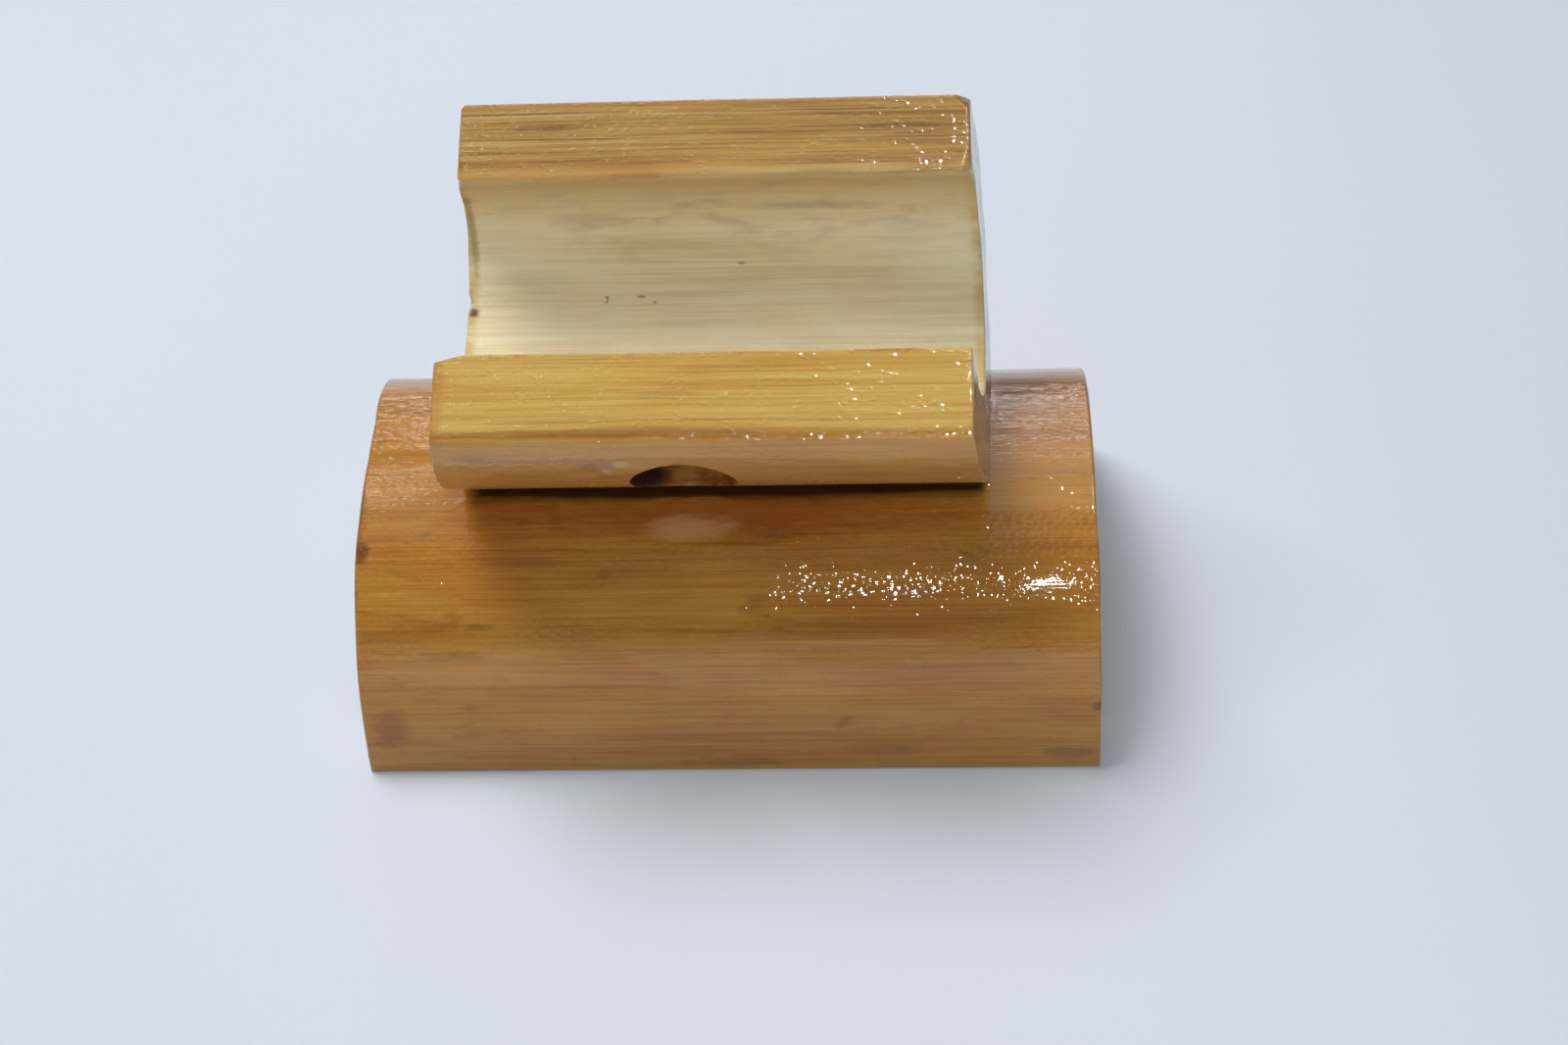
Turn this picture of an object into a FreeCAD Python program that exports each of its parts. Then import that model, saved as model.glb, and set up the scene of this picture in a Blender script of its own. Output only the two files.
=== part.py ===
import FreeCAD, Part
import math
import os
import Sketcher

# Phone stand made of two lengths of bamboo culm.
# A halved culm lies skin side up as the foot.  A smaller culm, sawn open along its
# length, is glued and screwed across its crown and holds the phone.
# Millimetres, +Z up, origin at the centre of the resting face.  +X runs along both
# culms, -Y is the side the user sits on.

doc = FreeCAD.newDocument("PhoneStand")

# ---------------------------------------------------------------- dimensions
sheet = doc.addObject("Spreadsheet::Sheet", "Dimensions")

DRIVING = [
    # the foot
    ("baseLength", 110.0),
    ("baseOuterRadius", 35.8),
    ("baseWall", 11.0),
    ("baseEndLean", 0.9),
    # the trough
    ("cradleOuterRadius", 28.4),
    ("cradleWall", 12.7),
    ("openingTilt", 22.3),
    ("openingOffset", 7.45),
    ("cradleLeftReach", 38.4),
    ("cradleRightReach", 36.9),
    ("leftLean", 2.8),
    ("leftYaw", 0.9),
    ("rightLean", 4.0),
    ("rightYaw", 1.7),
    # the cable outlet
    ("cableHoleDiameter", 15.0),
    ("cableHoleDrop", 36.0),
    ("cableHoleShift", 4.8),
    # the joint between the two culms
    ("jointFlatWidth", 8.0),
    ("seatLeft", 34.0),
    ("seatRight", 32.5),
    ("glueThickness", 0.3),
    ("glueSpread", 5.5),
    ("glueInset", 1.0),
    ("screwOffset", 24.0),
    ("screwLength", 20.0),
    ("screwHeadRadius", 3.5),
    ("screwShankRadius", 1.75),
    ("screwCoreRadius", 1.2),
    ("screwPlainLength", 7.0),
    ("screwTipLength", 1.8),
    ("threadPitch", 1.4),
    ("threadGap", 0.8),
    ("recessWidth", 0.9),
    ("recessSpan", 3.6),
    ("recessDepth", 1.3),
    ("headSetBack", 0.5),
    ("clearanceRadius", 2.0),
    ("counterboreRadius", 3.7),
    ("pilotRadius", 1.78),
    ("pilotSpare", 0.4),
    # softened edges of both culms
    ("edgeRound", 0.6),
]

DERIVED = [
    ("baseInnerRadius", "=baseOuterRadius - baseWall"),
    ("cradleInnerRadius", "=cradleOuterRadius - cradleWall"),
    ("baseSeatHeight", "=sqrt(baseOuterRadius ^ 2 - (jointFlatWidth / 2) ^ 2)"),
    ("cradleFlatDepth", "=sqrt(cradleOuterRadius ^ 2 - (jointFlatWidth / 2) ^ 2)"),
    ("cradleAxisHeight", "=baseSeatHeight + glueThickness + cradleFlatDepth"),
    ("screwHeadHeight", "=baseInnerRadius + headSetBack"),
]

for row, (alias, value) in enumerate(DRIVING + DERIVED, start=1):
    sheet.set("A%d" % row, alias)
    sheet.set("B%d" % row, str(value))
    sheet.setAlias("B%d" % row, alias)
doc.recompute()


def dim(alias):
    return float(getattr(sheet, alias))


# ------------------------------------------------------------------- helpers
def new_body(label):
    body = doc.addObject("PartDesign::Body", label)
    body.Label = label
    return body


def origin_item(body, role):
    return next(item for item in body.Origin.OriginFeatures if item.Role == role)


def new_sketch(body, role, label):
    sketch = body.newObject("Sketcher::SketchObject", label)
    sketch.AttachmentSupport = [(origin_item(body, role), "")]
    sketch.MapMode = "FlatFace"
    return sketch


def vec(x, y):
    return FreeCAD.Vector(x, y, 0.0)


def add_lines(sketch, points):
    """Closed polygon; the first edge runs from points[0] to points[1]."""
    edges = []
    for start, end in zip(points, points[1:] + points[:1]):
        edges.append(sketch.addGeometry(Part.LineSegment(vec(*start), vec(*end))))
    for first, second in zip(edges, edges[1:] + edges[:1]):
        sketch.addConstraint(Sketcher.Constraint("Coincident", first, 2, second, 1))
    return edges


def add_arc(sketch, radius, start, end, centre=(0.0, 0.0)):
    """Arc about centre, counterclockwise, angles in radians."""
    circle = Part.Circle(vec(*centre), FreeCAD.Vector(0, 0, 1), radius)
    return sketch.addGeometry(Part.ArcOfCircle(circle, start, end))


def add_circle(sketch, x, y, radius):
    return sketch.addGeometry(Part.Circle(vec(x, y), FreeCAD.Vector(0, 0, 1), radius))


def join(sketch, first, first_end, second, second_end):
    sketch.addConstraint(Sketcher.Constraint("Coincident", first, first_end, second, second_end))


def bind(sketch, name, kind, *args):
    """Add a named dimensional constraint."""
    index = sketch.addConstraint(Sketcher.Constraint(kind, *args))
    sketch.renameConstraint(index, name)


def drive(sketch, name, expression):
    sketch.setExpression("Constraints." + name, expression)


def sheet_value(alias):
    return "Dimensions." + alias


def volume_of(feature):
    doc.recompute()
    return feature.Shape.Volume


def end_edges(shape, reach):
    """Names of the edges that outline the two end faces."""
    names = []
    for number, edge in enumerate(shape.Edges, start=1):
        box = edge.BoundBox
        middle = (box.XMin + box.XMax) / 2.0
        if box.XLength < 4.5 and abs(middle) > reach:
            names.append("Edge%d" % number)
    return names


def long_edges(shape, wanted):
    """Names of the edges along X whose middle passes the given test."""
    names = []
    for number, edge in enumerate(shape.Edges, start=1):
        box = edge.BoundBox
        if box.XLength > 40.0 and box.YLength < 4.0 and box.ZLength < 4.0:
            if wanted((box.YMin + box.YMax) / 2.0, (box.ZMin + box.ZMax) / 2.0):
                names.append("Edge%d" % number)
    return names


# --------------------------------------------------------------- 1. the foot
base = new_body("base_culm")
base_radius = dim("baseOuterRadius")
base_bore = dim("baseInnerRadius")

profile = new_sketch(base, "YZ_Plane", "base_profile")
outer = add_arc(profile, base_radius, 0.0, math.pi)
foot_left = profile.addGeometry(Part.LineSegment(vec(-base_radius, 0), vec(-base_bore, 0)))
inner = add_arc(profile, base_bore, 0.0, math.pi)
foot_right = profile.addGeometry(Part.LineSegment(vec(base_bore, 0), vec(base_radius, 0)))
join(profile, outer, 3, -1, 1)
join(profile, inner, 3, -1, 1)
join(profile, outer, 2, foot_left, 1)
join(profile, foot_left, 2, inner, 2)
join(profile, inner, 1, foot_right, 1)
join(profile, foot_right, 2, outer, 1)
profile.addConstraint(Sketcher.Constraint("PointOnObject", outer, 1, -1))
profile.addConstraint(Sketcher.Constraint("PointOnObject", outer, 2, -1))
profile.addConstraint(Sketcher.Constraint("PointOnObject", inner, 1, -1))
profile.addConstraint(Sketcher.Constraint("PointOnObject", inner, 2, -1))
bind(profile, "outerRadius", "Radius", outer, base_radius)
bind(profile, "innerRadius", "Radius", inner, base_bore)
drive(profile, "outerRadius", sheet_value("baseOuterRadius"))
drive(profile, "innerRadius", sheet_value("baseInnerRadius"))

half_tube = base.newObject("PartDesign::Pad", "half_tube")
half_tube.Profile = profile
half_tube.SideType = "Symmetric"
half_tube.Length = dim("baseLength")
half_tube.setExpression("Length", sheet_value("baseLength"))
tube_volume = volume_of(half_tube)

# the right-hand end is sawn a little out of square
saw = new_sketch(base, "XZ_Plane", "base_end_line")
half_length = dim("baseLength") / 2.0
lean = math.radians(dim("baseEndLean"))
high = 60.0
top_x = half_length - high * math.tan(lean)
edges = add_lines(saw, [(half_length, 0), (half_length + 9, 0), (half_length + 9, high), (top_x, high)])
saw.addConstraint(Sketcher.Constraint("Horizontal", edges[0]))
saw.addConstraint(Sketcher.Constraint("Vertical", edges[1]))
saw.addConstraint(Sketcher.Constraint("Horizontal", edges[2]))
saw.addConstraint(Sketcher.Constraint("PointOnObject", edges[0], 1, -1))
bind(saw, "reach", "DistanceX", -1, 1, edges[0], 1, half_length)
bind(saw, "waste", "DistanceX", edges[0], 1, edges[0], 2, 9.0)
bind(saw, "high", "DistanceY", edges[1], 1, edges[1], 2, high)
bind(saw, "topReach", "DistanceX", -1, 1, edges[2], 2, top_x)
drive(saw, "reach", sheet_value("baseLength") + " / 2")
drive(saw, "topReach", sheet_value("baseLength") + " / 2 - %g * tan(Dimensions.baseEndLean * 1 deg)" % high)
doc.recompute()

base_end = base.newObject("PartDesign::Pocket", "base_end_cut")
base_end.Profile = saw
base_end.Type = "ThroughAll"
base_end.SideType = "Symmetric"
end_volume = volume_of(base_end)

# shallow seat planed on the crown, only where the trough stands
seat = new_sketch(base, "XZ_Plane", "seat_profile")
seat_z = dim("baseSeatHeight")
edges = add_lines(seat, [(-dim("seatLeft"), seat_z), (dim("seatRight"), seat_z),
                         (dim("seatRight"), seat_z + 3), (-dim("seatLeft"), seat_z + 3)])
for index, kind in enumerate(("Horizontal", "Vertical", "Horizontal", "Vertical")):
    seat.addConstraint(Sketcher.Constraint(kind, edges[index]))
bind(seat, "left", "DistanceX", edges[0], 1, -1, 1, dim("seatLeft"))
bind(seat, "right", "DistanceX", -1, 1, edges[0], 2, dim("seatRight"))
bind(seat, "height", "DistanceY", -1, 1, edges[0], 1, seat_z)
bind(seat, "clear", "DistanceY", edges[1], 1, edges[1], 2, 3.0)
drive(seat, "left", sheet_value("seatLeft"))
drive(seat, "right", sheet_value("seatRight"))
drive(seat, "height", sheet_value("baseSeatHeight"))

seat_cut = base.newObject("PartDesign::Pocket", "seat_cut")
seat_cut.Profile = seat
seat_cut.Type = "ThroughAll"
seat_cut.SideType = "Symmetric"
seat_volume = volume_of(seat_cut)

# countersunk clearance holes, drilled from inside the arch
screw_x = dim("screwOffset")
head_z = dim("screwHeadHeight")
head_r = dim("screwHeadRadius")
bore_r = dim("counterboreRadius")
clear_r = dim("clearanceRadius")


def offset_sketch(body, label, alias):
    """Sketch on the upright plane, shifted along X by a sheet value."""
    sketch = new_sketch(body, "XZ_Plane", label)
    sketch.AttachmentOffset = FreeCAD.Placement(FreeCAD.Vector(dim(alias), 0, 0), FreeCAD.Rotation())
    sketch.setExpression(".AttachmentOffset.Base.x", sheet_value(alias))
    return sketch


hole = offset_sketch(base, "clearance_profile", "screwOffset")
cone_low = head_z - (bore_r - head_r)
cone_high = head_z + (head_r - clear_r)
start_z = dim("baseInnerRadius") - 4.0
stop_z = seat_z + 2.0
edges = add_lines(hole, [(0, start_z), (bore_r, start_z), (bore_r, cone_low),
                         (clear_r, cone_high), (clear_r, stop_z), (0, stop_z)])
for index in (0, 4):
    hole.addConstraint(Sketcher.Constraint("Horizontal", edges[index]))
for index in (1, 3):
    hole.addConstraint(Sketcher.Constraint("Vertical", edges[index]))
hole.addConstraint(Sketcher.Constraint("PointOnObject", edges[0], 1, -2))
hole.addConstraint(Sketcher.Constraint("PointOnObject", edges[4], 2, -2))
bind(hole, "start", "DistanceY", -1, 1, edges[0], 1, start_z)
bind(hole, "stop", "DistanceY", -1, 1, edges[4], 1, stop_z)
bind(hole, "boreRadius", "DistanceX", edges[0], 1, edges[0], 2, bore_r)
bind(hole, "clearRadius", "DistanceX", edges[4], 2, edges[4], 1, clear_r)
bind(hole, "coneLow", "DistanceY", -1, 1, edges[1], 2, cone_low)
bind(hole, "coneHigh", "DistanceY", -1, 1, edges[2], 2, cone_high)
drive(hole, "start", sheet_value("baseInnerRadius") + " - 4")
drive(hole, "stop", sheet_value("baseSeatHeight") + " + 2")
drive(hole, "boreRadius", sheet_value("counterboreRadius"))
drive(hole, "clearRadius", sheet_value("clearanceRadius"))
drive(hole, "coneLow", "Dimensions.screwHeadHeight - Dimensions.counterboreRadius"
                       " + Dimensions.screwHeadRadius")
drive(hole, "coneHigh", "Dimensions.screwHeadHeight + Dimensions.screwHeadRadius"
                        " - Dimensions.clearanceRadius")


def revolve(body, kind, label, sketch):
    feature = body.newObject(kind, label)
    feature.Profile = sketch
    feature.ReferenceAxis = (sketch, ["V_Axis"])
    feature.Angle = 360.0
    return feature


def mirror(body, label, originals):
    feature = body.newObject("PartDesign::Mirrored", label)
    feature.Originals = originals
    feature.MirrorPlane = (origin_item(body, "YZ_Plane"), [""])
    body.Tip = feature
    return feature


clearance = revolve(base, "PartDesign::Groove", "clearance_hole", hole)
one_hole_volume = volume_of(clearance)
both_holes = mirror(base, "clearance_holes", [clearance])
two_hole_volume = volume_of(both_holes)

rounding = base.newObject("PartDesign::Fillet", "base_edges")
rim = end_edges(both_holes.Shape, half_length - 2.0)
rim += long_edges(both_holes.Shape, lambda y, z: z < 0.1)
rounding.Base = (both_holes, rim)
rounding.Radius = dim("edgeRound")
rounding.setExpression("Radius", sheet_value("edgeRound"))
rounded_volume = volume_of(rounding)
assert tube_volume > end_volume > seat_volume > one_hole_volume > two_hole_volume > rounded_volume

# ------------------------------------------------------------- 2. the trough
cradle = new_body("cradle_culm")
cradle.Placement = FreeCAD.Placement(FreeCAD.Vector(0, 0, dim("cradleAxisHeight")), FreeCAD.Rotation())
cradle.setExpression(".Placement.Base.z", sheet_value("cradleAxisHeight"))

ring = dim("cradleOuterRadius")
bore = dim("cradleInnerRadius")
tilt = math.radians(dim("openingTilt"))
rise = dim("openingOffset")
flat_half = dim("jointFlatWidth") / 2.0
flat_z = -dim("cradleFlatDepth")


def rim_point(radius, side):
    """Point of the sawn opening at this radius; side +1 is the back, -1 the front."""
    along = side * math.sqrt(radius ** 2 - rise ** 2)
    return (along * math.cos(tilt) - rise * math.sin(tilt),
            along * math.sin(tilt) + rise * math.cos(tilt))


def bearing(point):
    return math.atan2(point[1], point[0]) % (2.0 * math.pi)


back_out = rim_point(ring, 1)
back_in = rim_point(bore, 1)
front_in = rim_point(bore, -1)
front_out = rim_point(ring, -1)
turn = 2.0 * math.pi

trough = new_sketch(cradle, "YZ_Plane", "cradle_profile")
front_arc = add_arc(trough, ring, bearing(front_out), bearing((-flat_half, flat_z)))
flat = trough.addGeometry(Part.LineSegment(vec(-flat_half, flat_z), vec(flat_half, flat_z)))
back_arc = add_arc(trough, ring, bearing((flat_half, flat_z)), bearing(back_out) + turn)
back_rim = trough.addGeometry(Part.LineSegment(vec(*back_out), vec(*back_in)))
bore_arc = add_arc(trough, bore, bearing(front_in), bearing(back_in) + turn)
front_rim = trough.addGeometry(Part.LineSegment(vec(*front_in), vec(*front_out)))
for arc in (front_arc, back_arc, bore_arc):
    join(trough, arc, 3, -1, 1)
join(trough, front_arc, 2, flat, 1)
join(trough, flat, 2, back_arc, 1)
join(trough, back_arc, 2, back_rim, 1)
join(trough, back_rim, 2, bore_arc, 2)
join(trough, bore_arc, 1, front_rim, 1)
join(trough, front_rim, 2, front_arc, 1)
trough.addConstraint(Sketcher.Constraint("Horizontal", flat))
bind(trough, "frontRadius", "Radius", front_arc, ring)
bind(trough, "backRadius", "Radius", back_arc, ring)
bind(trough, "boreRadius", "Radius", bore_arc, bore)
bind(trough, "flatWidth", "DistanceX", flat, 1, flat, 2, 2.0 * flat_half)
bind(trough, "tilt", "Angle", -1, 1, back_rim, 2, tilt)
bind(trough, "backOffset", "Distance", -1, 1, back_rim, rise)
bind(trough, "frontTilt", "Angle", -1, 1, front_rim, 2, tilt)
bind(trough, "frontOffset", "Distance", -1, 1, front_rim, rise)
for name in ("frontRadius", "backRadius"):
    drive(trough, name, sheet_value("cradleOuterRadius"))
drive(trough, "boreRadius", sheet_value("cradleInnerRadius"))
drive(trough, "flatWidth", sheet_value("jointFlatWidth"))
for name in ("tilt", "frontTilt"):
    drive(trough, name, sheet_value("openingTilt") + " * 1 deg")
for name in ("backOffset", "frontOffset"):
    drive(trough, name, sheet_value("openingOffset"))

blank_half = 48.0
channel = cradle.newObject("PartDesign::Pad", "open_tube")
channel.Profile = trough
channel.SideType = "Symmetric"
channel.Length = 2.0 * blank_half
channel_volume = volume_of(channel)


def saw_end(label, side, reach, lean_alias, yaw_alias):
    """Saw one end of the trough; both ends splay outwards towards the bottom."""
    sketch = new_sketch(cradle, "XZ_Plane", label + "_line")
    turned = FreeCAD.Rotation(FreeCAD.Vector(0, 1, 0), -dim(yaw_alias))
    sketch.AttachmentOffset = FreeCAD.Placement(FreeCAD.Vector(0, 0, 0), turned)
    sketch.setExpression(".AttachmentOffset.Rotation.Angle", "-" + sheet_value(yaw_alias))
    slope = math.tan(math.radians(dim(lean_alias)))
    tall = 45.0
    far = blank_half + 7.0
    middle = side * dim(reach)
    low = (middle + side * tall * slope, -tall)
    top = (middle - side * tall * slope, tall)
    lines = add_lines(sketch, [low, (side * far, -tall), (side * far, tall), top])
    sketch.addConstraint(Sketcher.Constraint("Horizontal", lines[0]))
    sketch.addConstraint(Sketcher.Constraint("Vertical", lines[1]))
    sketch.addConstraint(Sketcher.Constraint("Horizontal", lines[2]))
    bind(sketch, "drop", "DistanceY", lines[0], 1, -1, 1, tall)
    bind(sketch, "climb", "DistanceY", -1, 1, lines[2], 1, tall)
    if side > 0:
        bind(sketch, "far", "DistanceX", -1, 1, lines[0], 2, far)
        bind(sketch, "lowReach", "DistanceX", -1, 1, lines[0], 1, abs(low[0]))
        bind(sketch, "topReach", "DistanceX", -1, 1, lines[2], 2, abs(top[0]))
    else:
        bind(sketch, "far", "DistanceX", lines[0], 2, -1, 1, far)
        bind(sketch, "lowReach", "DistanceX", lines[0], 1, -1, 1, abs(low[0]))
        bind(sketch, "topReach", "DistanceX", lines[2], 2, -1, 1, abs(top[0]))
    shift = "%g * tan(%s * 1 deg)" % (tall, sheet_value(lean_alias))
    drive(sketch, "lowReach", sheet_value(reach) + " + " + shift)
    drive(sketch, "topReach", sheet_value(reach) + " - " + shift)
    cut = cradle.newObject("PartDesign::Pocket", label)
    cut.Profile = sketch
    cut.Type = "ThroughAll"
    cut.SideType = "Symmetric"
    return cut


left_end = saw_end("left_end_cut", -1, "cradleLeftReach", "leftLean", "leftYaw")
left_volume = volume_of(left_end)
right_end = saw_end("right_end_cut", 1, "cradleRightReach", "rightLean", "rightYaw")
right_volume = volume_of(right_end)

# cable outlet: drilled square to the skin through the lower front wall
outlet = new_sketch(cradle, "XZ_Plane", "outlet_circle")
tipped = FreeCAD.Rotation(FreeCAD.Vector(1, 0, 0), dim("cableHoleDrop"))
outlet.AttachmentOffset = FreeCAD.Placement(FreeCAD.Vector(0, 0, 0), tipped)
outlet.setExpression(".AttachmentOffset.Rotation.Angle", sheet_value("cableHoleDrop"))
circle = add_circle(outlet, -dim("cableHoleShift"), 0.0, dim("cableHoleDiameter") / 2.0)
outlet.addConstraint(Sketcher.Constraint("PointOnObject", circle, 3, -1))
bind(outlet, "shift", "DistanceX", circle, 3, -1, 1, dim("cableHoleShift"))
bind(outlet, "diameter", "Diameter", circle, dim("cableHoleDiameter"))
drive(outlet, "shift", sheet_value("cableHoleShift"))
drive(outlet, "diameter", sheet_value("cableHoleDiameter"))

cable_hole = cradle.newObject("PartDesign::Pocket", "cable_hole")
cable_hole.Profile = outlet
cable_hole.Type = "Length"
cable_hole.Length = ring + 4.0
cable_hole.setExpression("Length", sheet_value("cradleOuterRadius") + " + 4")
cable_hole.Reversed = True
hole_volume = volume_of(cable_hole)

# screw holes from below
pilot = offset_sketch(cradle, "pilot_profile", "screwOffset")
pilot_r = dim("pilotRadius")
pilot_low = flat_z - 2.0
tip_z = head_z + dim("screwLength") - dim("cradleAxisHeight") + dim("pilotSpare")
shoulder = tip_z - pilot_r
edges = add_lines(pilot, [(0, pilot_low), (pilot_r, pilot_low), (pilot_r, shoulder), (0, tip_z)])
pilot.addConstraint(Sketcher.Constraint("Horizontal", edges[0]))
pilot.addConstraint(Sketcher.Constraint("Vertical", edges[1]))
pilot.addConstraint(Sketcher.Constraint("PointOnObject", edges[0], 1, -2))
pilot.addConstraint(Sketcher.Constraint("PointOnObject", edges[2], 2, -2))
bind(pilot, "radius", "DistanceX", edges[0], 1, edges[0], 2, pilot_r)
bind(pilot, "low", "DistanceY", edges[0], 1, -1, 1, -pilot_low)
bind(pilot, "shoulder", "DistanceY", edges[1], 2, -1, 1, -shoulder)
bind(pilot, "tip", "DistanceY", edges[2], 2, -1, 1, -tip_z)
depth = ("Dimensions.cradleAxisHeight - Dimensions.screwHeadHeight"
         " - Dimensions.screwLength - Dimensions.pilotSpare")
drive(pilot, "radius", sheet_value("pilotRadius"))
drive(pilot, "low", sheet_value("cradleFlatDepth") + " + 2")
drive(pilot, "tip", depth)
drive(pilot, "shoulder", depth + " + Dimensions.pilotRadius")

pilot_hole = revolve(cradle, "PartDesign::Groove", "pilot_hole", pilot)
pilot_volume = volume_of(pilot_hole)
pilot_holes = mirror(cradle, "pilot_holes", [pilot_hole])
pilots_volume = volume_of(pilot_holes)
assert channel_volume > left_volume > right_volume > hole_volume > pilot_volume > pilots_volume


def rim_edges(shape):
    """Long edges of the opening: everything along X above the lower third."""
    return long_edges(shape, lambda y, z: z > -0.3 * ring)


softened = cradle.newObject("PartDesign::Fillet", "cradle_edges")
softened.Base = (pilot_holes, rim_edges(pilot_holes.Shape) + end_edges(pilot_holes.Shape, 33.0))
softened.Radius = dim("edgeRound")
softened.setExpression("Radius", sheet_value("edgeRound"))
softened_volume = volume_of(softened)
assert softened_volume < pilots_volume

# ----------------------------------------------------------- 3. the glue bed
glue = new_body("glue_bed")
axis_z = dim("cradleAxisHeight")
spread = dim("glueSpread")
low_edge = math.sqrt(base_radius ** 2 - spread ** 2)
high_edge = axis_z - math.sqrt(ring ** 2 - spread ** 2)
flat_top = axis_z + flat_z

bed = new_sketch(glue, "YZ_Plane", "glue_profile")
low_flat = bed.addGeometry(Part.LineSegment(vec(-flat_half, seat_z), vec(flat_half, seat_z)))
low_right = add_arc(bed, base_radius, bearing((spread, low_edge)), bearing((flat_half, seat_z)))
side_right = bed.addGeometry(Part.LineSegment(vec(spread, low_edge), vec(spread, high_edge)))
high_right = add_arc(bed, ring, bearing((flat_half, flat_z)), bearing((spread, high_edge - axis_z)),
                     (0.0, axis_z))
high_flat = bed.addGeometry(Part.LineSegment(vec(flat_half, flat_top), vec(-flat_half, flat_top)))
high_left = add_arc(bed, ring, bearing((-spread, high_edge - axis_z)), bearing((-flat_half, flat_z)),
                    (0.0, axis_z))
side_left = bed.addGeometry(Part.LineSegment(vec(-spread, high_edge), vec(-spread, low_edge)))
low_left = add_arc(bed, base_radius, bearing((-flat_half, seat_z)), bearing((-spread, low_edge)))
join(bed, low_flat, 2, low_right, 2)
join(bed, low_right, 1, side_right, 1)
join(bed, side_right, 2, high_right, 2)
join(bed, high_right, 1, high_flat, 1)
join(bed, high_flat, 2, high_left, 2)
join(bed, high_left, 1, side_left, 1)
join(bed, side_left, 2, low_left, 2)
join(bed, low_left, 1, low_flat, 1)
for arc in (low_right, low_left):
    join(bed, arc, 3, -1, 1)
join(bed, high_right, 3, high_left, 3)
bed.addConstraint(Sketcher.Constraint("PointOnObject", high_right, 3, -2))
for line in (low_flat, high_flat):
    bed.addConstraint(Sketcher.Constraint("Horizontal", line))
for line in (side_right, side_left):
    bed.addConstraint(Sketcher.Constraint("Vertical", line))
bind(bed, "axisHeight", "DistanceY", -1, 1, high_right, 3, axis_z)
bind(bed, "lowRadius", "Radius", low_right, base_radius)
bind(bed, "highRadius", "Radius", high_right, ring)
bind(bed, "lowWidth", "DistanceX", low_flat, 1, low_flat, 2, 2.0 * flat_half)
bind(bed, "highWidth", "DistanceX", high_flat, 2, high_flat, 1, 2.0 * flat_half)
bind(bed, "spreadRight", "DistanceX", -1, 1, side_right, 1, spread)
bind(bed, "spreadLeft", "DistanceX", side_left, 1, -1, 1, spread)
drive(bed, "axisHeight", sheet_value("cradleAxisHeight"))
drive(bed, "lowRadius", sheet_value("baseOuterRadius"))
drive(bed, "highRadius", sheet_value("cradleOuterRadius"))
for name in ("lowWidth", "highWidth"):
    drive(bed, name, sheet_value("jointFlatWidth"))
for name in ("spreadRight", "spreadLeft"):
    drive(bed, name, sheet_value("glueSpread"))

adhesive = glue.newObject("PartDesign::Pad", "adhesive")
adhesive.Profile = bed
adhesive.SideType = "Two sides"
adhesive.Length = dim("seatRight") - dim("glueInset")
adhesive.Length2 = dim("seatLeft") - dim("glueInset")
adhesive.setExpression("Length", "Dimensions.seatRight - Dimensions.glueInset")
adhesive.setExpression("Length2", "Dimensions.seatLeft - Dimensions.glueInset")
adhesive_volume = volume_of(adhesive)

squeeze = new_sketch(glue, "XY_Plane", "glue_holes_circles")
for name, side in (("right", 1), ("left", -1)):
    circle = add_circle(squeeze, side * screw_x, 0.0, clear_r)
    squeeze.addConstraint(Sketcher.Constraint("PointOnObject", circle, 3, -1))
    ends = (-1, 1, circle, 3) if side > 0 else (circle, 3, -1, 1)
    bind(squeeze, name + "Offset", "DistanceX", *ends, screw_x)
    bind(squeeze, name + "Radius", "Radius", circle, clear_r)
    drive(squeeze, name + "Offset", sheet_value("screwOffset"))
    drive(squeeze, name + "Radius", sheet_value("clearanceRadius"))

glue_holes = glue.newObject("PartDesign::Pocket", "glue_holes")
glue_holes.Profile = squeeze
glue_holes.Type = "ThroughAll"
glue_holes.SideType = "Symmetric"
assert volume_of(glue_holes) < adhesive_volume

# ------------------------------------------------------------- 4. the screws
screws = new_body("joint_screws")
screws.AllowCompound = True
screws.Placement = FreeCAD.Placement(FreeCAD.Vector(0, 0, head_z), FreeCAD.Rotation())
screws.setExpression(".Placement.Base.z", sheet_value("screwHeadHeight"))

shank_r = dim("screwShankRadius")
core_r = dim("screwCoreRadius")
plain = dim("screwPlainLength")
total = dim("screwLength")
tip = dim("screwTipLength")
THREADS = 7

shank = offset_sketch(screws, "screw_profile", "screwOffset")
edges = add_lines(shank, [(0, 0), (head_r, 0), (shank_r, head_r - shank_r),
                          (shank_r, total - tip), (0, total)])
shank.addConstraint(Sketcher.Constraint("Coincident", edges[0], 1, -1, 1))
shank.addConstraint(Sketcher.Constraint("Horizontal", edges[0]))
shank.addConstraint(Sketcher.Constraint("Vertical", edges[2]))
shank.addConstraint(Sketcher.Constraint("PointOnObject", edges[3], 2, -2))
bind(shank, "headRadius", "DistanceX", edges[0], 1, edges[0], 2, head_r)
bind(shank, "shankRadius", "DistanceX", -1, 1, edges[1], 2, shank_r)
bind(shank, "coneHeight", "DistanceY", -1, 1, edges[1], 2, head_r - shank_r)
bind(shank, "total", "DistanceY", -1, 1, edges[3], 2, total)
bind(shank, "tip", "DistanceY", edges[3], 1, edges[3], 2, tip)
drive(shank, "headRadius", sheet_value("screwHeadRadius"))
drive(shank, "shankRadius", sheet_value("screwShankRadius"))
drive(shank, "coneHeight", "Dimensions.screwHeadRadius - Dimensions.screwShankRadius")
drive(shank, "total", sheet_value("screwLength"))
drive(shank, "tip", sheet_value("screwTipLength"))

turned_screw = revolve(screws, "PartDesign::Revolution", "turned_screw", shank)
turned_volume = volume_of(turned_screw)

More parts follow.
